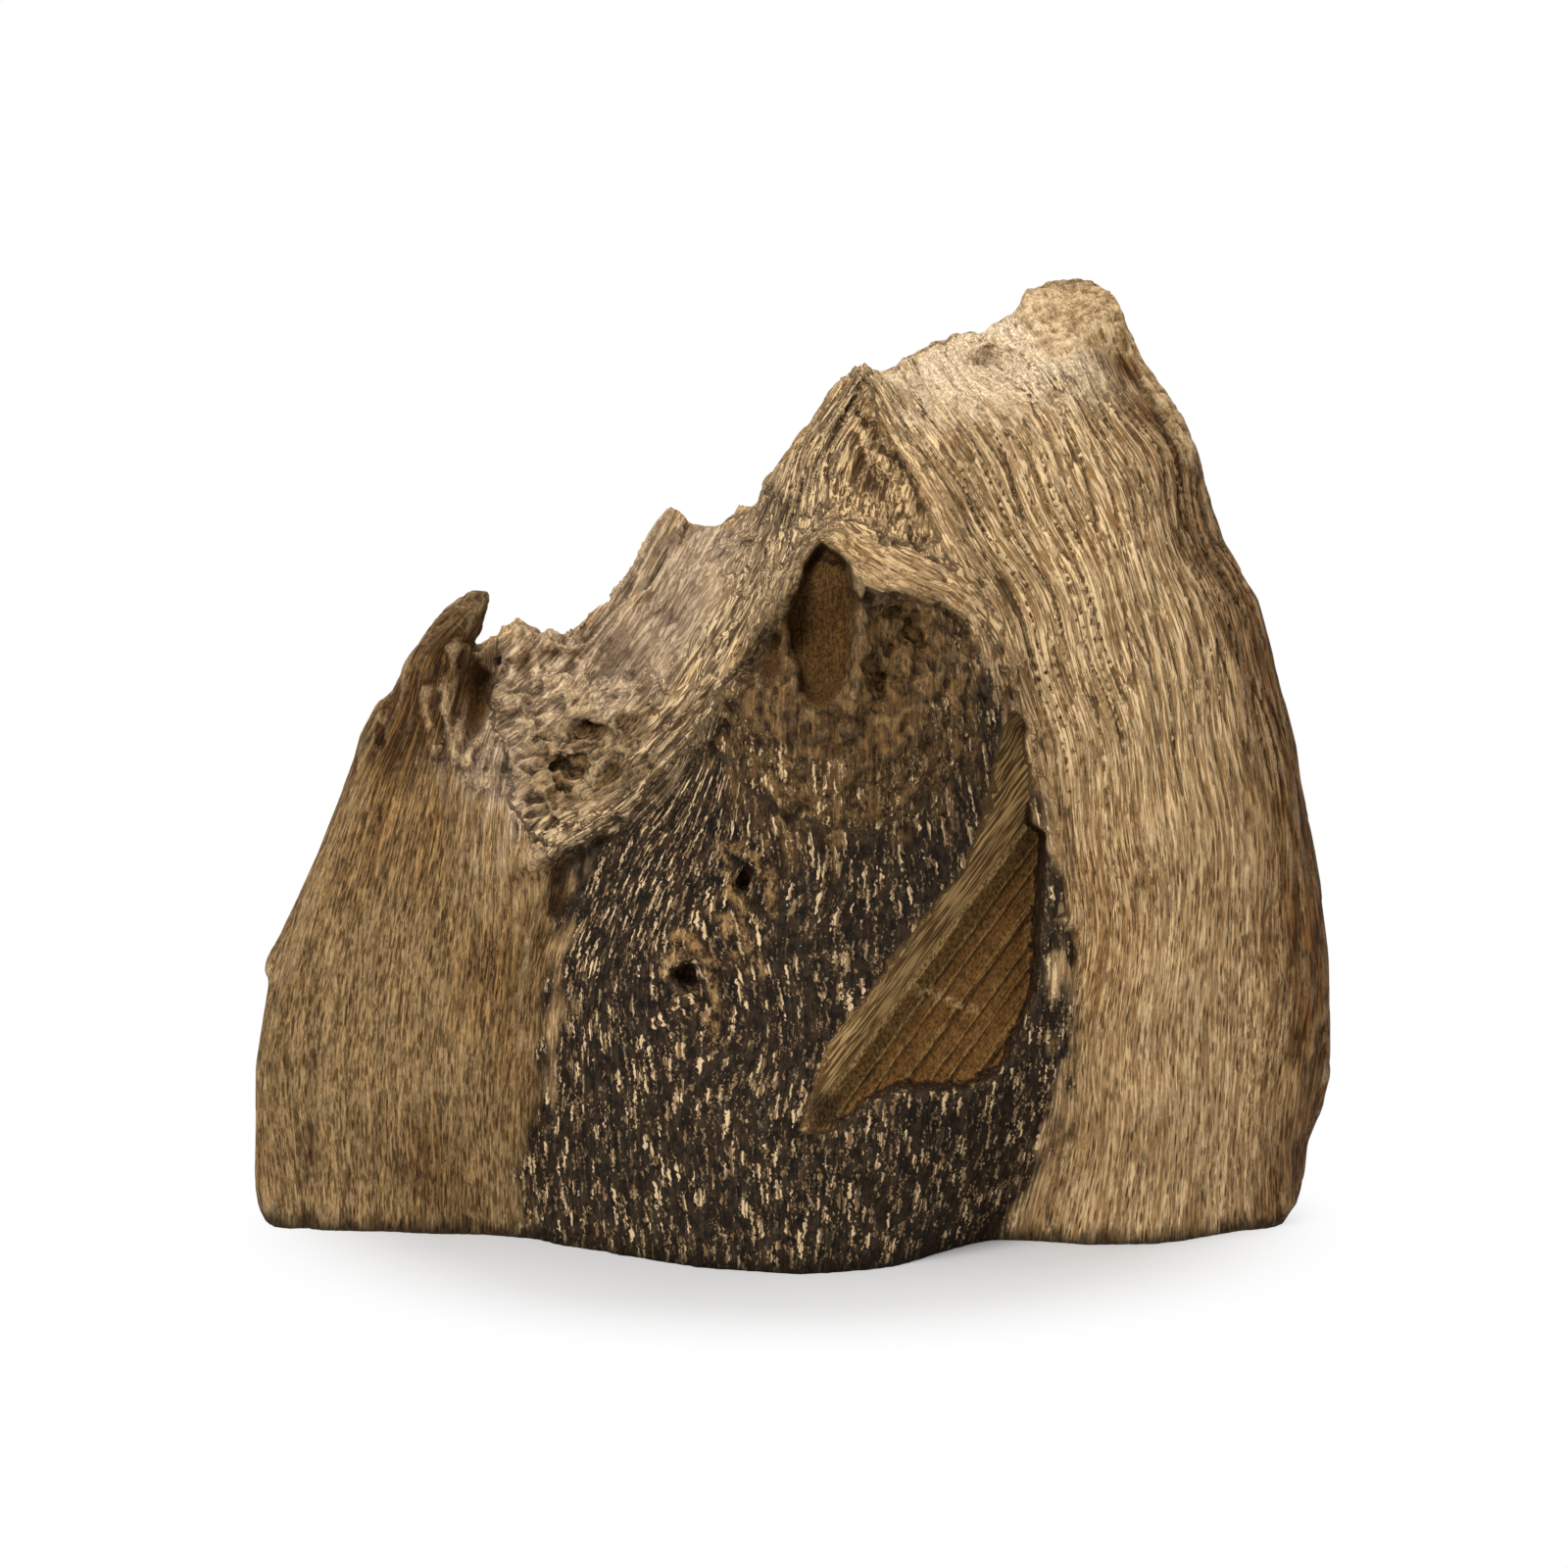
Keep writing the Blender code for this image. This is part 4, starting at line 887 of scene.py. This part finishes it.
BROWN_FLANK = [
    (-116, -4), (-116, 60), (-100, 80), (-84, 112), (-62, 134), (-60, 118), (-57, 104), (-50, 92),
    (-43, 84), (-42, 74), (-47, 56), (-50, 30), (-51, -4),
]
TOP_STRIP = [
    (45, 186), (50, 196), (66, 196), (84, 160), (81, 156), (76, 164), (70, 176), (62, 180),
    (52, 178),
]
HORN_WOOD = [
    (-94, 98), (-88, 107), (-80, 118), (-70, 132), (-60, 132), (-64, 116), (-64, 107), (-68, 99),
    (-80, 94),
]
SUMMIT = [(20, 174), (30, 168), (46, 170), (60, 172), (66, 178), (66, 198), (30, 190)]
PALE_CORDS = [WING_FOOT, WEB_FORK, WEB_STEM] + WEB_STRANDS + CROTCH_STRANDS + STUB_STRANDS
PITTED = [(-56, 107), (-46, 100), (-33, 104), (-29, 99), (-38, 92), (-46, 84), (-54, 86)]
PLAIN_RESIN = [
    (-30, 94), (-18, 98), (-5, 94), (0, 82), (-6, 66), (-12, 50), (-20, 44), (-26, 50), (-26, 62),
    (-20, 74), (-28, 84),
]
RIGHT_X = [point[0] for point in RIGHT_EDGE]
RIGHT_Z = [point[1] for point in RIGHT_EDGE]
# Pits whose insides are painted in shade.
SHADED_PIT_OUTLINES = [outline for outline, _, _ in (
    WEB_PIT_LOW, WEB_PIT_MIDDLE, WEB_PIT_RIGHT, WEB_PIT_UNDER_WING, ROT_HEART, ROT_FLOOR)]
# Hollows whose insides are painted in shade.
SHADED_HOLLOW_OUTLINES = [BRANCH_HOLLOW[0], HORN_HOLLOW[0], SIDE_POCKET[0]]

# Kinds of wood on the front, and pits and hollows painted in shade: outlines, how far their
# borders fray, how wide each border fades in mm, and the share of the wood on the outline itself.
FRONT_WOOD = {
    "resin": ([DARK_RESIN], 2.6, 4, 0.5),
    "flecked": ([FLECKED], 2.2, 2.5, 0.5),
    "web": ([ERODED_WEBS], 4.5, 14, 0.5),
    "wing": ([WING_STRANDS], 1, 5, 0.5),
    "crotch": ([CROTCH_WEBS], 1, 4, 0.5),
    "flank": ([BROWN_FLANK], 2, 10, 0.5),
    "strip": ([TOP_STRIP], 0.8, 3, 0.5),
    "pit_hollow_shade": (SHADED_PIT_OUTLINES, 1.1, 3, 2.2 / 3),
    "hollow_shade": (SHADED_HOLLOW_OUTLINES, 0.3, 2, 0.3),
    "pitted": ([PITTED], 1, 4, 0.4),
    "plain": ([PLAIN_RESIN], 1, 5, 0.4),
    "horn": ([HORN_WOOD], 3, 11, 0.6),
    "summit": ([SUMMIT], 2.5, 16, 0.5),
}
# Where each change begins or ends, and over how many mm it fades: the stub's skin into the rib
# below it, the cut's tail, the painted shade in a band beside its step, the bleached top of the back,
# the upper part of the right lobe, the painted shade along the right edge and along the foot.
STUB_FADE_FROM, STUB_FADE = 112, 12
TAIL_FROM, TAIL_FADE = 82, 12
STEP_SHADE_WIDTH, STEP_SHADE_FADE = 5.6, 1.2
BLEACHED_FADE = 34
UPPER_FROM, UPPER_FADE = 70, 60
EDGE_SHADE_WIDTH = 16
FOOT_SHADE_HEIGHT = 2.4


def regions_of(places, grain):
    """Shares of each kind of wood, and of the painted shade, at the places, from 0 to 1, with frayed
    borders.
    """
    x, y, z = places.T
    front = in_front(places)
    fray = 2.2 * rough(grain, (3.5, 6, 9)) + 1.2 * rough(grain, (1.6, 4, 4), 5.0)
    share = {}
    for name, (outlines, fraying, width, border) in FRONT_WOOD.items():
        inside = np.max([inside_by(x, z, outline) for outline in outlines], axis=0)
        share[name] = front * smooth_step((inside + fraying * fray) / width + border)
    low = smooth_step((STUB_FADE_FROM - z) / STUB_FADE)
    share["stub"] = front * smooth_step(
        (inside_by(x, z, ROTTED_STUB) + (1 + 3 * low) * fray) / (4 + 8 * low) + 0.5)
    cut, beyond, _ = notch_depth(x, z)
    share["notch"] = sawn_floor(places) * front
    # Painted shade on the steep walls of the saw's cut, below its rim.
    share["wall"] = smooth_step(inside_by(x, z, NOTCH_BOUNDS) / 0.7) * front * (
        1 - share["notch"]) * (y < cut)
    share["facet"] = share["notch"] * smooth_step(beyond)
    share["tail"] = share["facet"] * smooth_step((z - TAIL_FROM) / TAIL_FADE)
    # Painted shade in a band beside the step, on the lower face of the cut.
    share["step_shade"] = share["notch"] * smooth_step(-beyond) * smooth_step(
        (beyond + STEP_SHADE_WIDTH) / STEP_SHADE_FADE)
    to_crack = distance_to(x, z, NOTCH_CRACK[0]) + 0.15 * fray
    share["crack"] = share["notch"] * smooth_step(1.3 - to_crack / 0.6) * smooth_step(
        0.8 + 1.5 * rough(places, (1.4, 1.4, 1.4), 38.5))
    # Painted shade at the tip of the cut, joined to the walls.
    tip = smooth_step(1.5 - np.hypot(x - NOTCH_TIP[0], z - NOTCH_TIP[1]) / 4) * share["notch"]
    share["wall"] = np.maximum(share["wall"], tip)
    share["back"] = (1 - front) * smooth_step(distance_to(x, z, TOP_EDGE) / BLEACHED_FADE)
    grown = 1 - np.max([share[k] for k in (
        "flecked", "stub", "web", "notch", "wall", "hollow_shade", "crotch")], axis=0)
    lobe = smooth_step((x - np.interp(z, CLEFT_Z, CLEFT_X)) / 3) * front
    upper = smooth_step((z - UPPER_FROM) / UPPER_FADE) * lobe
    share["pored"] = grown * (1 - 0.6 * upper - 0.8 * share["wing"]) * (1 - 0.5 * share["back"])
    share["slitted"] = grown * np.maximum(0.25 + 0.75 * upper, share["wing"])
    share["lobe"] = lobe
    share["upper"] = upper
    # Painted shade: the right side grows darker towards its edge, where it turns away from the light.
    inward = np.interp(z, RIGHT_Z, RIGHT_X) - x + 2 * fray
    share["edge"] = smooth_step(1.15 - inward / EDGE_SHADE_WIDTH) * (x > 0)
    # Painted shade along the foot, where the wood meets the floor.
    share["foot_shade"] = smooth_step(1.5 - (z + fray) / FOOT_SHADE_HEIGHT)
    near_x, near_z = x + 0.7 * fray, z + 0.5 * fray
    for name, cords, breadth in (("cord", PALE_CORDS, 0.75), ("rim", KNOT_RIMS, 0.9)):
        share[name] = front * np.max([
            smooth_step((breadth * width - distance_to(near_x, near_z, path)) / 0.8 + 0.4)
            for path, width, _ in cords], axis=0)
    share["cord"] *= smooth_step(0.5 + 1.6 * rough(places, (2.2, 2.2, 2.2), 36.5))
    share["slitted"] *= np.clip(0.5 + 1.6 * rough(grain, (2.6, 3, 15), 33.5), 0, 1)
    share["patch"] = smooth_step(0.5 + 1.4 * rough(grain, (15, 15, 34), 34.5))
    share["broad"] = smooth_step(0.1 + 1.5 * rough(grain, (3.6, 4, 60), 35.5))
    return share


# Relief. Furrows follow the grain everywhere; the eroded parts are webs with pits between them.
# Each noise has the size of its lumps across, behind and along the grain, in mm, and its layer.
# What multiplies a noise in the height is how far it stands out, in mm.
CREASE_WIDTH = 0.12
SMALL_CREASE_WIDTH = 0.15
RELIEF_RISE_FROM, RELIEF_RISE = 60, 70

mesh = stump.data
places = read_places(mesh)
runs, weights = grain_runs(places)
grain = main_run(runs, weights)
share = regions_of(places, grain)
broad = stranded(runs, weights, (3.0, 5, 44))
narrow = stranded(runs, weights, (1.5, 2.5, 17), 3.0)
creases = 1 - smooth_step(np.abs(stranded(runs, weights, (3.0, 4, 36), 5.0)) / CREASE_WIDTH)
small_creases = 1 - smooth_step(
    np.abs(stranded(runs, weights, (1.8, 3, 20), 6.5)) / SMALL_CREASE_WIDTH)
lumps = rough(places, (7, 7, 12), 9.0)
film = stranded(runs, weights, (2.6, 4, 18), 4.0)
torn = stranded(runs, weights, (2.4, 4, 5.5), 4.5)
rot = rough(places, (3, 3, 4), 6.0) + 0.6 * rough(places, (1.6, 1.6, 1.8), 7.0)
high = share["lobe"] * smooth_step((places[:, 2] - RELIEF_RISE_FROM) / RELIEF_RISE) * (
    1 - 0.5 * share["summit"])
unflecked = 1 - share["flecked"]
height = np.zeros(len(places))
for pattern, everywhere, on_lobe, on_wing, on_back in (
    # heights in mm: everywhere, and more on the upper lobe, the wing and the back
    (broad, 0.22, 0.38, 0.35, 0.3),
    (narrow, 0.18, 0.22, 0.3, 0),
    (creases * unflecked, -0.25, -0.85, -0.65, 0),
    (small_creases * unflecked, -0.12, -0.4, -0.45, 0),
    (lumps, 0.4, 0, 0, 0),
):
    height += pattern * (
        everywhere + on_lobe * high + on_wing * share["wing"] + on_back * share["back"])
eroded = np.maximum(share["web"], 0.8 * share["crotch"])
edges_of_film = 1 - smooth_step(
    np.abs(stranded(runs, weights, (5.5, 9, 30), 9.5)) / CREASE_WIDTH)
height += eroded * (0.9 * film + 0.15 * torn + 1.0 * edges_of_film)
height -= share["pitted"] * 2.2 * smooth_step(2.0 * torn + 0.1)
height += 1.0 * rot * np.maximum(share["stub"], 0.25 * share["strip"])
height += 0.25 * share["cord"]
height += share["flecked"] * (0.3 * rot + 0.35 * stranded(runs, weights, (1.3, 2, 6), 8.5))
height *= (1 - share["notch"]) * (1 - share["wall"]) * (1 - 0.7 * share["hollow_shade"])
height += 0.1 * share["notch"] * rough(places, (1.2, 1.2, 1.2), 8.0)
write_places(mesh, places + height[:, None] * read_vectors(mesh, "normal"))

thin = stump.modifiers.new("thin", "DECIMATE")
triangles = sum(len(face.vertices) - 2 for face in mesh.polygons)
thin.ratio = min(1, KEPT_TRIANGLES / triangles)
bpy.ops.object.modifier_apply(modifier="thin")
bpy.ops.object.mode_set(mode="EDIT")
bpy.ops.mesh.select_all(action="SELECT")
bpy.ops.mesh.bisect(plane_co=(0, 0, 0), plane_no=(0, 0, 1), clear_inner=True, use_fill=True)
bpy.ops.object.mode_set(mode="OBJECT")
mesh = stump.data
mesh.shade_smooth()

# What the finish reads: the run of the grain, the kinds of wood, and how deep each place lies,
# which sets the painted shade in pits and hollows and the painted highlight on crests.
places = read_places(mesh)
grain = main_run(*grain_runs(places))
share = regions_of(places, grain)
mesh.attributes.new("grain", "FLOAT_VECTOR", "POINT").data.foreach_set("vector", grain.ravel())

edges = np.empty(len(mesh.edges) * 2, int)
mesh.edges.foreach_get("vertices", edges)
starts, ends = edges.reshape(-1, 2).T
count = np.bincount(edges, minlength=len(places))[:, None]


def averaged(values, rounds):
    """Values evened out over the skin, with each place moving half way to its neighbours."""
    for _ in range(rounds):
        total = np.zeros_like(values)
        for column in range(values.shape[1]):
            total[:, column] = np.bincount(starts, values[ends, column], len(values))
            total[:, column] += np.bincount(ends, values[starts, column], len(values))
        values = 0.5 * values + 0.5 * total / count
    return values


FINE_ROUNDS = 8
WIDE_ROUNDS = 90
normals = read_vectors(mesh, "normal")
fine = ((places - averaged(places, FINE_ROUNDS)) * normals).sum(1)
wide = ((places - averaged(places, WIDE_ROUNDS)) * normals).sum(1)
# Painted shade in small pits, from how far each place lies below its near neighbours.
share["cavity_shade"] = smooth_step(-fine / 0.4 - 0.1) * (1 - 0.7 * share["summit"])
# A painted highlight on crests, from how far each place stands above its near neighbours.
share["crest"] = smooth_step(fine / 0.4 - 0.2) * (1 - 0.9 * share["resin"]) * (
    1 - 0.8 * share["stub"])
# Painted shade in wide hollows, from how far each place lies below its wider neighbourhood.
share["deep"] = smooth_step(-wide / 3.0 - 0.15) * (1 - share["hollow_shade"]) * (
    1 - 0.8 * share["summit"])
for name, values in share.items():
    mesh.attributes.new(name, "FLOAT", "POINT").data.foreach_set("value", values)


# Weathered agarwood: the finish of the grown, broken and sawn faces.
# Air-dried, sun-bleached wood, dull and dry to the touch. The bleached parts are tan with dark
# pores and slits, and the resin rib is near black with pale islands of inner bark.
wood = bpy.data.materials.new("weathered_agarwood")
wood.use_nodes = True
tree = wood.node_tree
tree.nodes.clear()
run = add(tree, "Attribute", attribute_name="grain").outputs["Vector"]
spot = add(tree, "TexCoord").outputs["Object"]
place = add(tree, "VectorMath", {0: spot, "Scale": 1 / MM}, operation="SCALE").outputs[0]
# The same places pushed about a little, in mm, so that no two islands look alike.
DRIFT = (1.5, 1.5, 4.2)
drift = add(tree, "TexNoise", {"Vector": run, "Scale": 1.1, "Detail": 1.0}).outputs["Color"]
frayed = add(tree, "VectorMath", {0: drift, 1: DRIFT, 2: run},
             operation="MULTIPLY_ADD").outputs[0]

masks = {name: add(tree, "Attribute", attribute_name=name).outputs["Fac"] for name in share}

# Noises: coordinates, size in millimetres, detail, roughness, and the values that become 0 and 1.
# Real fibres and vessels are 0.02 to 0.2 mm wide, too fine to show, so they are drawn coarser.
NOISES = {
    "fine": (run, (0.55, 0.8, 9), 2, 0.65, 0.43, 0.57),
    "short": (run, (0.5, 0.8, 2.8), 2, 0.75, 0.44, 0.56),
    "long": (run, (1.3, 1.6, 26), 1, 0.5, 0.48, 0.62),
    "grime": (place, (2.2, 2.2, 2.4), 4, 0.7, 0.40, 0.62),
    "blotch": (place, (3.6, 3.6, 4.6), 3, 0.65, 0.45, 0.58),
    "dust": (place, (0.6, 0.6, 0.8), 2, 0.7, 0.36, 0.64),
}
for layer, (name, (where, size, detail, coarse, low, high)) in enumerate(NOISES.items()):
    scaled = add(tree, "VectorMath", {0: where, 1: [1 / s for s in size], 2: [7.3 * layer] * 3},
                 operation="MULTIPLY_ADD").outputs[0]
    cloud = add(tree, "TexNoise", {
        "Vector": scaled, "Scale": 1.0, "Detail": detail, "Roughness": coarse}).outputs["Fac"]
    masks[name] = add(tree, "MapRange", {"Value": cloud, "From Min": low, "From Max": high},
                      interpolation_type="SMOOTHSTEP").outputs[0]

# Slits between strands: the contour lines of a long noise.
SLIT_SIZE = (1.7, 3, 26)
scaled = add(tree, "VectorMath", {0: run, 1: [1 / s for s in SLIT_SIZE]},
             operation="MULTIPLY").outputs[0]
cloud = add(tree, "TexNoise", {"Vector": scaled, "Scale": 1.0, "Detail": 1.0}).outputs["Fac"]
away = add(tree, "Math", {0: cloud, 1: 0.5}, operation="SUBTRACT").outputs[0]
away = add(tree, "Math", {0: away}, operation="ABSOLUTE").outputs[0]
SLIT_EDGE, SLIT_CORE = 0.026, 0.008
masks["slits"] = add(tree, "MapRange", {"Value": away, "From Min": SLIT_EDGE, "From Max": SLIT_CORE},
                     interpolation_type="SMOOTHSTEP").outputs[0]

# Pores and pale islands: scattered spots drawn out along the grain, each of its own strength.
# The islands of inner bark are at their real size, under 1 mm across and about 4 mm along.
SPOTS = {
    "pores": (run, (0.72, 3.0, 4.6), 1.0, 0.40, 0.22, 0.0, 0.45),
    "islands": (frayed, (0.95, 2.6, 5.4), 1.0, 0.42, 0.30, 0.25, 0.40),
    "specks": (frayed, (0.55, 1.3, 2.6), 1.0, 0.45, 0.28, 0.35, 0.60),
}
for name, (where, size, scatter, edge, core, weak, strong) in SPOTS.items():
    scaled = add(tree, "VectorMath", {0: where, 1: [1 / s for s in size]},
                 operation="MULTIPLY").outputs[0]
    cell = add(tree, "TexVoronoi", {"Vector": scaled, "Scale": 1.0, "Randomness": scatter})
    own = add(tree, "SeparateColor", {0: cell.outputs["Color"]}).outputs[0]
    inside = add(tree, "MapRange", {
        "Value": cell.outputs["Distance"], "From Min": edge, "From Max": core},
        interpolation_type="SMOOTHSTEP").outputs[0]
    power = add(tree, "MapRange", {"Value": own, "From Min": weak, "From Max": strong}).outputs[0]
    masks[name] = add(tree, "Math", {0: inside, 1: power}, operation="MULTIPLY").outputs[0]

# The saw's strokes: painted shade at the foot of each step and a painted highlight on its lip
# before it, and a painted highlight along the ridge between the two faces of the cut.
side = add(tree, "SeparateXYZ", {0: run}).outputs[0]
sway = add(tree, "Math", {0: side, 1: SAW_SWAY_RATE}, operation="MULTIPLY").outputs[0]
sway = add(tree, "Math", {0: sway}, operation="SINE").outputs[0]
sway = add(tree, "Math", {0: sway, 1: SAW_SWAY}, operation="MULTIPLY").outputs[0]
stroke = add(tree, "Math", {0: sway, 1: side}, operation="SUBTRACT").outputs[0]
stroke = add(tree, "Math", {0: stroke, 1: SAW_TOOTH_SPACING}, operation="DIVIDE").outputs[0]
shake = add(tree, "Math", {0: masks["fine"], 1: 0.10, 2: stroke},
            operation="MULTIPLY_ADD").outputs[0]
stroke = add(tree, "Math", {0: shake}, operation="FRACT").outputs[0]
ridge = add(tree, "Math", {0: masks["fine"], 1: 0.5, 2: side},
            operation="MULTIPLY_ADD").outputs[0]
ridge = add(tree, "Math", {0: ridge}, operation="ABSOLUTE").outputs[0]
for name, distance, out, full in (
    ("stroke_shade", stroke, 0.30, 0.10), ("stroke_highlight", stroke, 0.80, 0.94), ("ridge", ridge, 0.85, 0.35),
    ("sawn", side, -1.5, -3.0),
):
    masks[name] = add(tree, "MapRange", {"Value": distance, "From Min": out, "From Max": full},
                      interpolation_type="SMOOTHSTEP").outputs[0]

# Coats of colour, laid one over the other: where, how strongly, the noise that mixes the two
# colours, and the colours. Some coats paint shade and highlights, as marked below.
COATS = [
    ((), 1.0, "fine", "#7C5830", "#DFBE8D"),
    (("pored",), 0.60, "short", "#5A3A19", "#D6B380"),
    (("long",), 0.60, "dust", "#5E3D1A", "#8A6233"),
    (("broad",), 0.50, "fine", "#6C4823", "#A47B4A"),
    (("patch",), 0.30, "fine", "#AE8A5C", "#DDBD8E"),
    (("flank",), 0.92, "short", "#281605", "#906C3F"),
    (("flank",), 0.48, "fine", "#281605", "#9A7646"),
    (("flank", "long"), 0.45, "dust", "#3C270F", "#5C421F"),
    (("flank", "patch"), 0.40, "short", "#78603C", "#B3976E"),
    (("upper",), 0.40, "fine", "#86653C", "#EACD9E"),
    (("summit",), 0.90, "dust", "#B99D77", "#F0DBBC"),
    (("back",), 0.85, "fine", "#543819", "#92703F"),
    (("back", "long"), 0.50, "dust", "#3C2610", "#583D1D"),
    # painted shade along the right edge
    (("edge",), 0.95, "fine", "#241002", "#6C4418"),
    (("pored", "pores"), 0.80, "dust", "#241406", "#4C3116"),
    (("slitted", "slits"), 0.85, "dust", "#2C1A0A", "#4B341A"),
    (("strip",), 0.70, "grime", "#8A673C", "#DCBE90"),
    (("resin",), 0.98, "grime", "#0C0B0A", "#30241A"),
    (("plain",), 0.65, "grime", "#0E0B0A", "#3C2B1A"),
    (("web",), 0.90, "fine", "#775C44", "#DCC29E"),
    (("web",), 0.35, "grime", "#5C4634", "#D8BF9C"),
    (("web", "long"), 0.50, "fine", "#5C4430", "#8F7250"),
    (("web", "patch"), 0.35, "dust", "#5C4A3E", "#8C7866"),
    (("horn",), 0.95, "fine", "#2C1A0A", "#684824"),
    (("horn", "long"), 0.40, "dust", "#1E1005", "#3E2810"),
    (("pitted",), 0.70, "grime", "#221508", "#8A6942"),
    (("crotch",), 0.85, "fine", "#5A4026", "#CDAB7B"),
    (("crotch", "long"), 0.50, "fine", "#3A2713", "#6C4F30"),
    (("wing",), 0.90, "fine", "#503B26", "#D4B588"),
    (("wing", "long"), 0.65, "dust", "#34261A", "#584530"),
    (("wing", "slits"), 0.85, "dust", "#20170F", "#3B2B1B"),
    (("stub",), 1.0, "blotch", "#1C1108", "#84633A"),
    (("stub",), 0.40, "grime", "#1C1209", "#876840"),
    (("stub",), 0.25, "fine", "#1E130A", "#866740"),
    (("stub", "long"), 0.5, "dust", "#1C120A", "#46311D"),
    (("flecked", "specks"), 0.75, "dust", "#463421", "#AE9067"),
    (("flecked", "islands"), 0.92, "fine", "#7A5D3E", "#DDBE92"),
    # painted shade in small pits and in wide hollows
    (("cavity_shade",), 0.70, "dust", "#1C1006", "#362312"),
    (("deep",), 0.60, "dust", "#22160B", "#402C1A"),
    # painted shade inside the pits
    (("pit_hollow_shade",), 0.80, "grime", "#1C1208", "#75562F"),
    # a painted highlight on crests
    (("crest",), 0.35, "dust", "#B8966A", "#E2C698"),
    (("cord", "web"), 0.70, "dust", "#A88457", "#E6CDA2"),
    (("cord", "crotch"), 0.50, "dust", "#A88457", "#E2C79A"),
    (("rim",), 0.55, "grime", "#2E1C0C", "#B9905A"),
    # painted shade inside the hollows of the stub, the horn and beside the stub
    (("hollow_shade",), 0.95, "dust", "#362109", "#5C401E"),
    # painted shade along the foot, where it meets the floor
    (("foot_shade",), 0.85, "dust", "#0E0804", "#2A1B0D"),
    (("notch",), 1.0, "grime", "#523516", "#7C562A"),
    (("notch",), 0.45, "dust", "#43290F", "#946A3A"),
    (("notch", "fine"), 0.30, "dust", "#5A3B18", "#8A6436"),
    # painted shade in a band beside the step
    (("step_shade",), 0.65, "dust", "#32250E", "#66502A"),
    (("facet",), 0.85, "fine", "#4C371D", "#A98A5A"),
    (("tail",), 0.60, "fine", "#33240F", "#8A6C40"),
    # painted shade at the foot of each saw stroke, a painted highlight on its lip, and a painted
    # highlight along the ridge
    (("notch", "sawn", "stroke_shade"), 0.70, "dust", "#241505", "#46300F"),
    (("notch", "sawn", "stroke_highlight"), 0.45, "dust", "#7A5A30", "#C09A62"),
    (("notch", "ridge"), 0.60, "dust", "#75592F", "#D2AF7A"),
    (("crack",), 0.75, "dust", "#75592F", "#D8B680"),
    # painted shade on the walls and tip of the saw's cut
    (("wall",), 0.90, "dust", "#1A1007", "#46301A"),
]
color = linear("#9E7D55")
for where, strength, mixing, dark, pale in COATS:
    tint = add(tree, "Mix", {0: masks[mixing], 6: linear(dark), 7: linear(pale)},
               data_type="RGBA").outputs[2]
    amount = strength
    for name in where:
        amount = add(tree, "Math", {0: amount, 1: masks[name]}, operation="MULTIPLY").outputs[0]
    color = add(tree, "Mix", {0: amount, 6: color, 7: tint}, data_type="RGBA").outputs[2]

# The finest fibres stand out a little.
FIBRE_HEIGHT = 0.2 * MM
bump = add(tree, "Bump", {"Height": masks["fine"], "Strength": 1.0, "Distance": FIBRE_HEIGHT})
shader = add(tree, "BsdfPrincipled", {
    "Base Color": color, "Roughness": 0.85, "Specular IOR Level": 0.12,
    "Normal": bump.outputs[0],
})
add(tree, "OutputMaterial", {"Surface": shader.outputs[0]})
mesh.materials.append(wood)

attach(stump, "root")
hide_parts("stump")
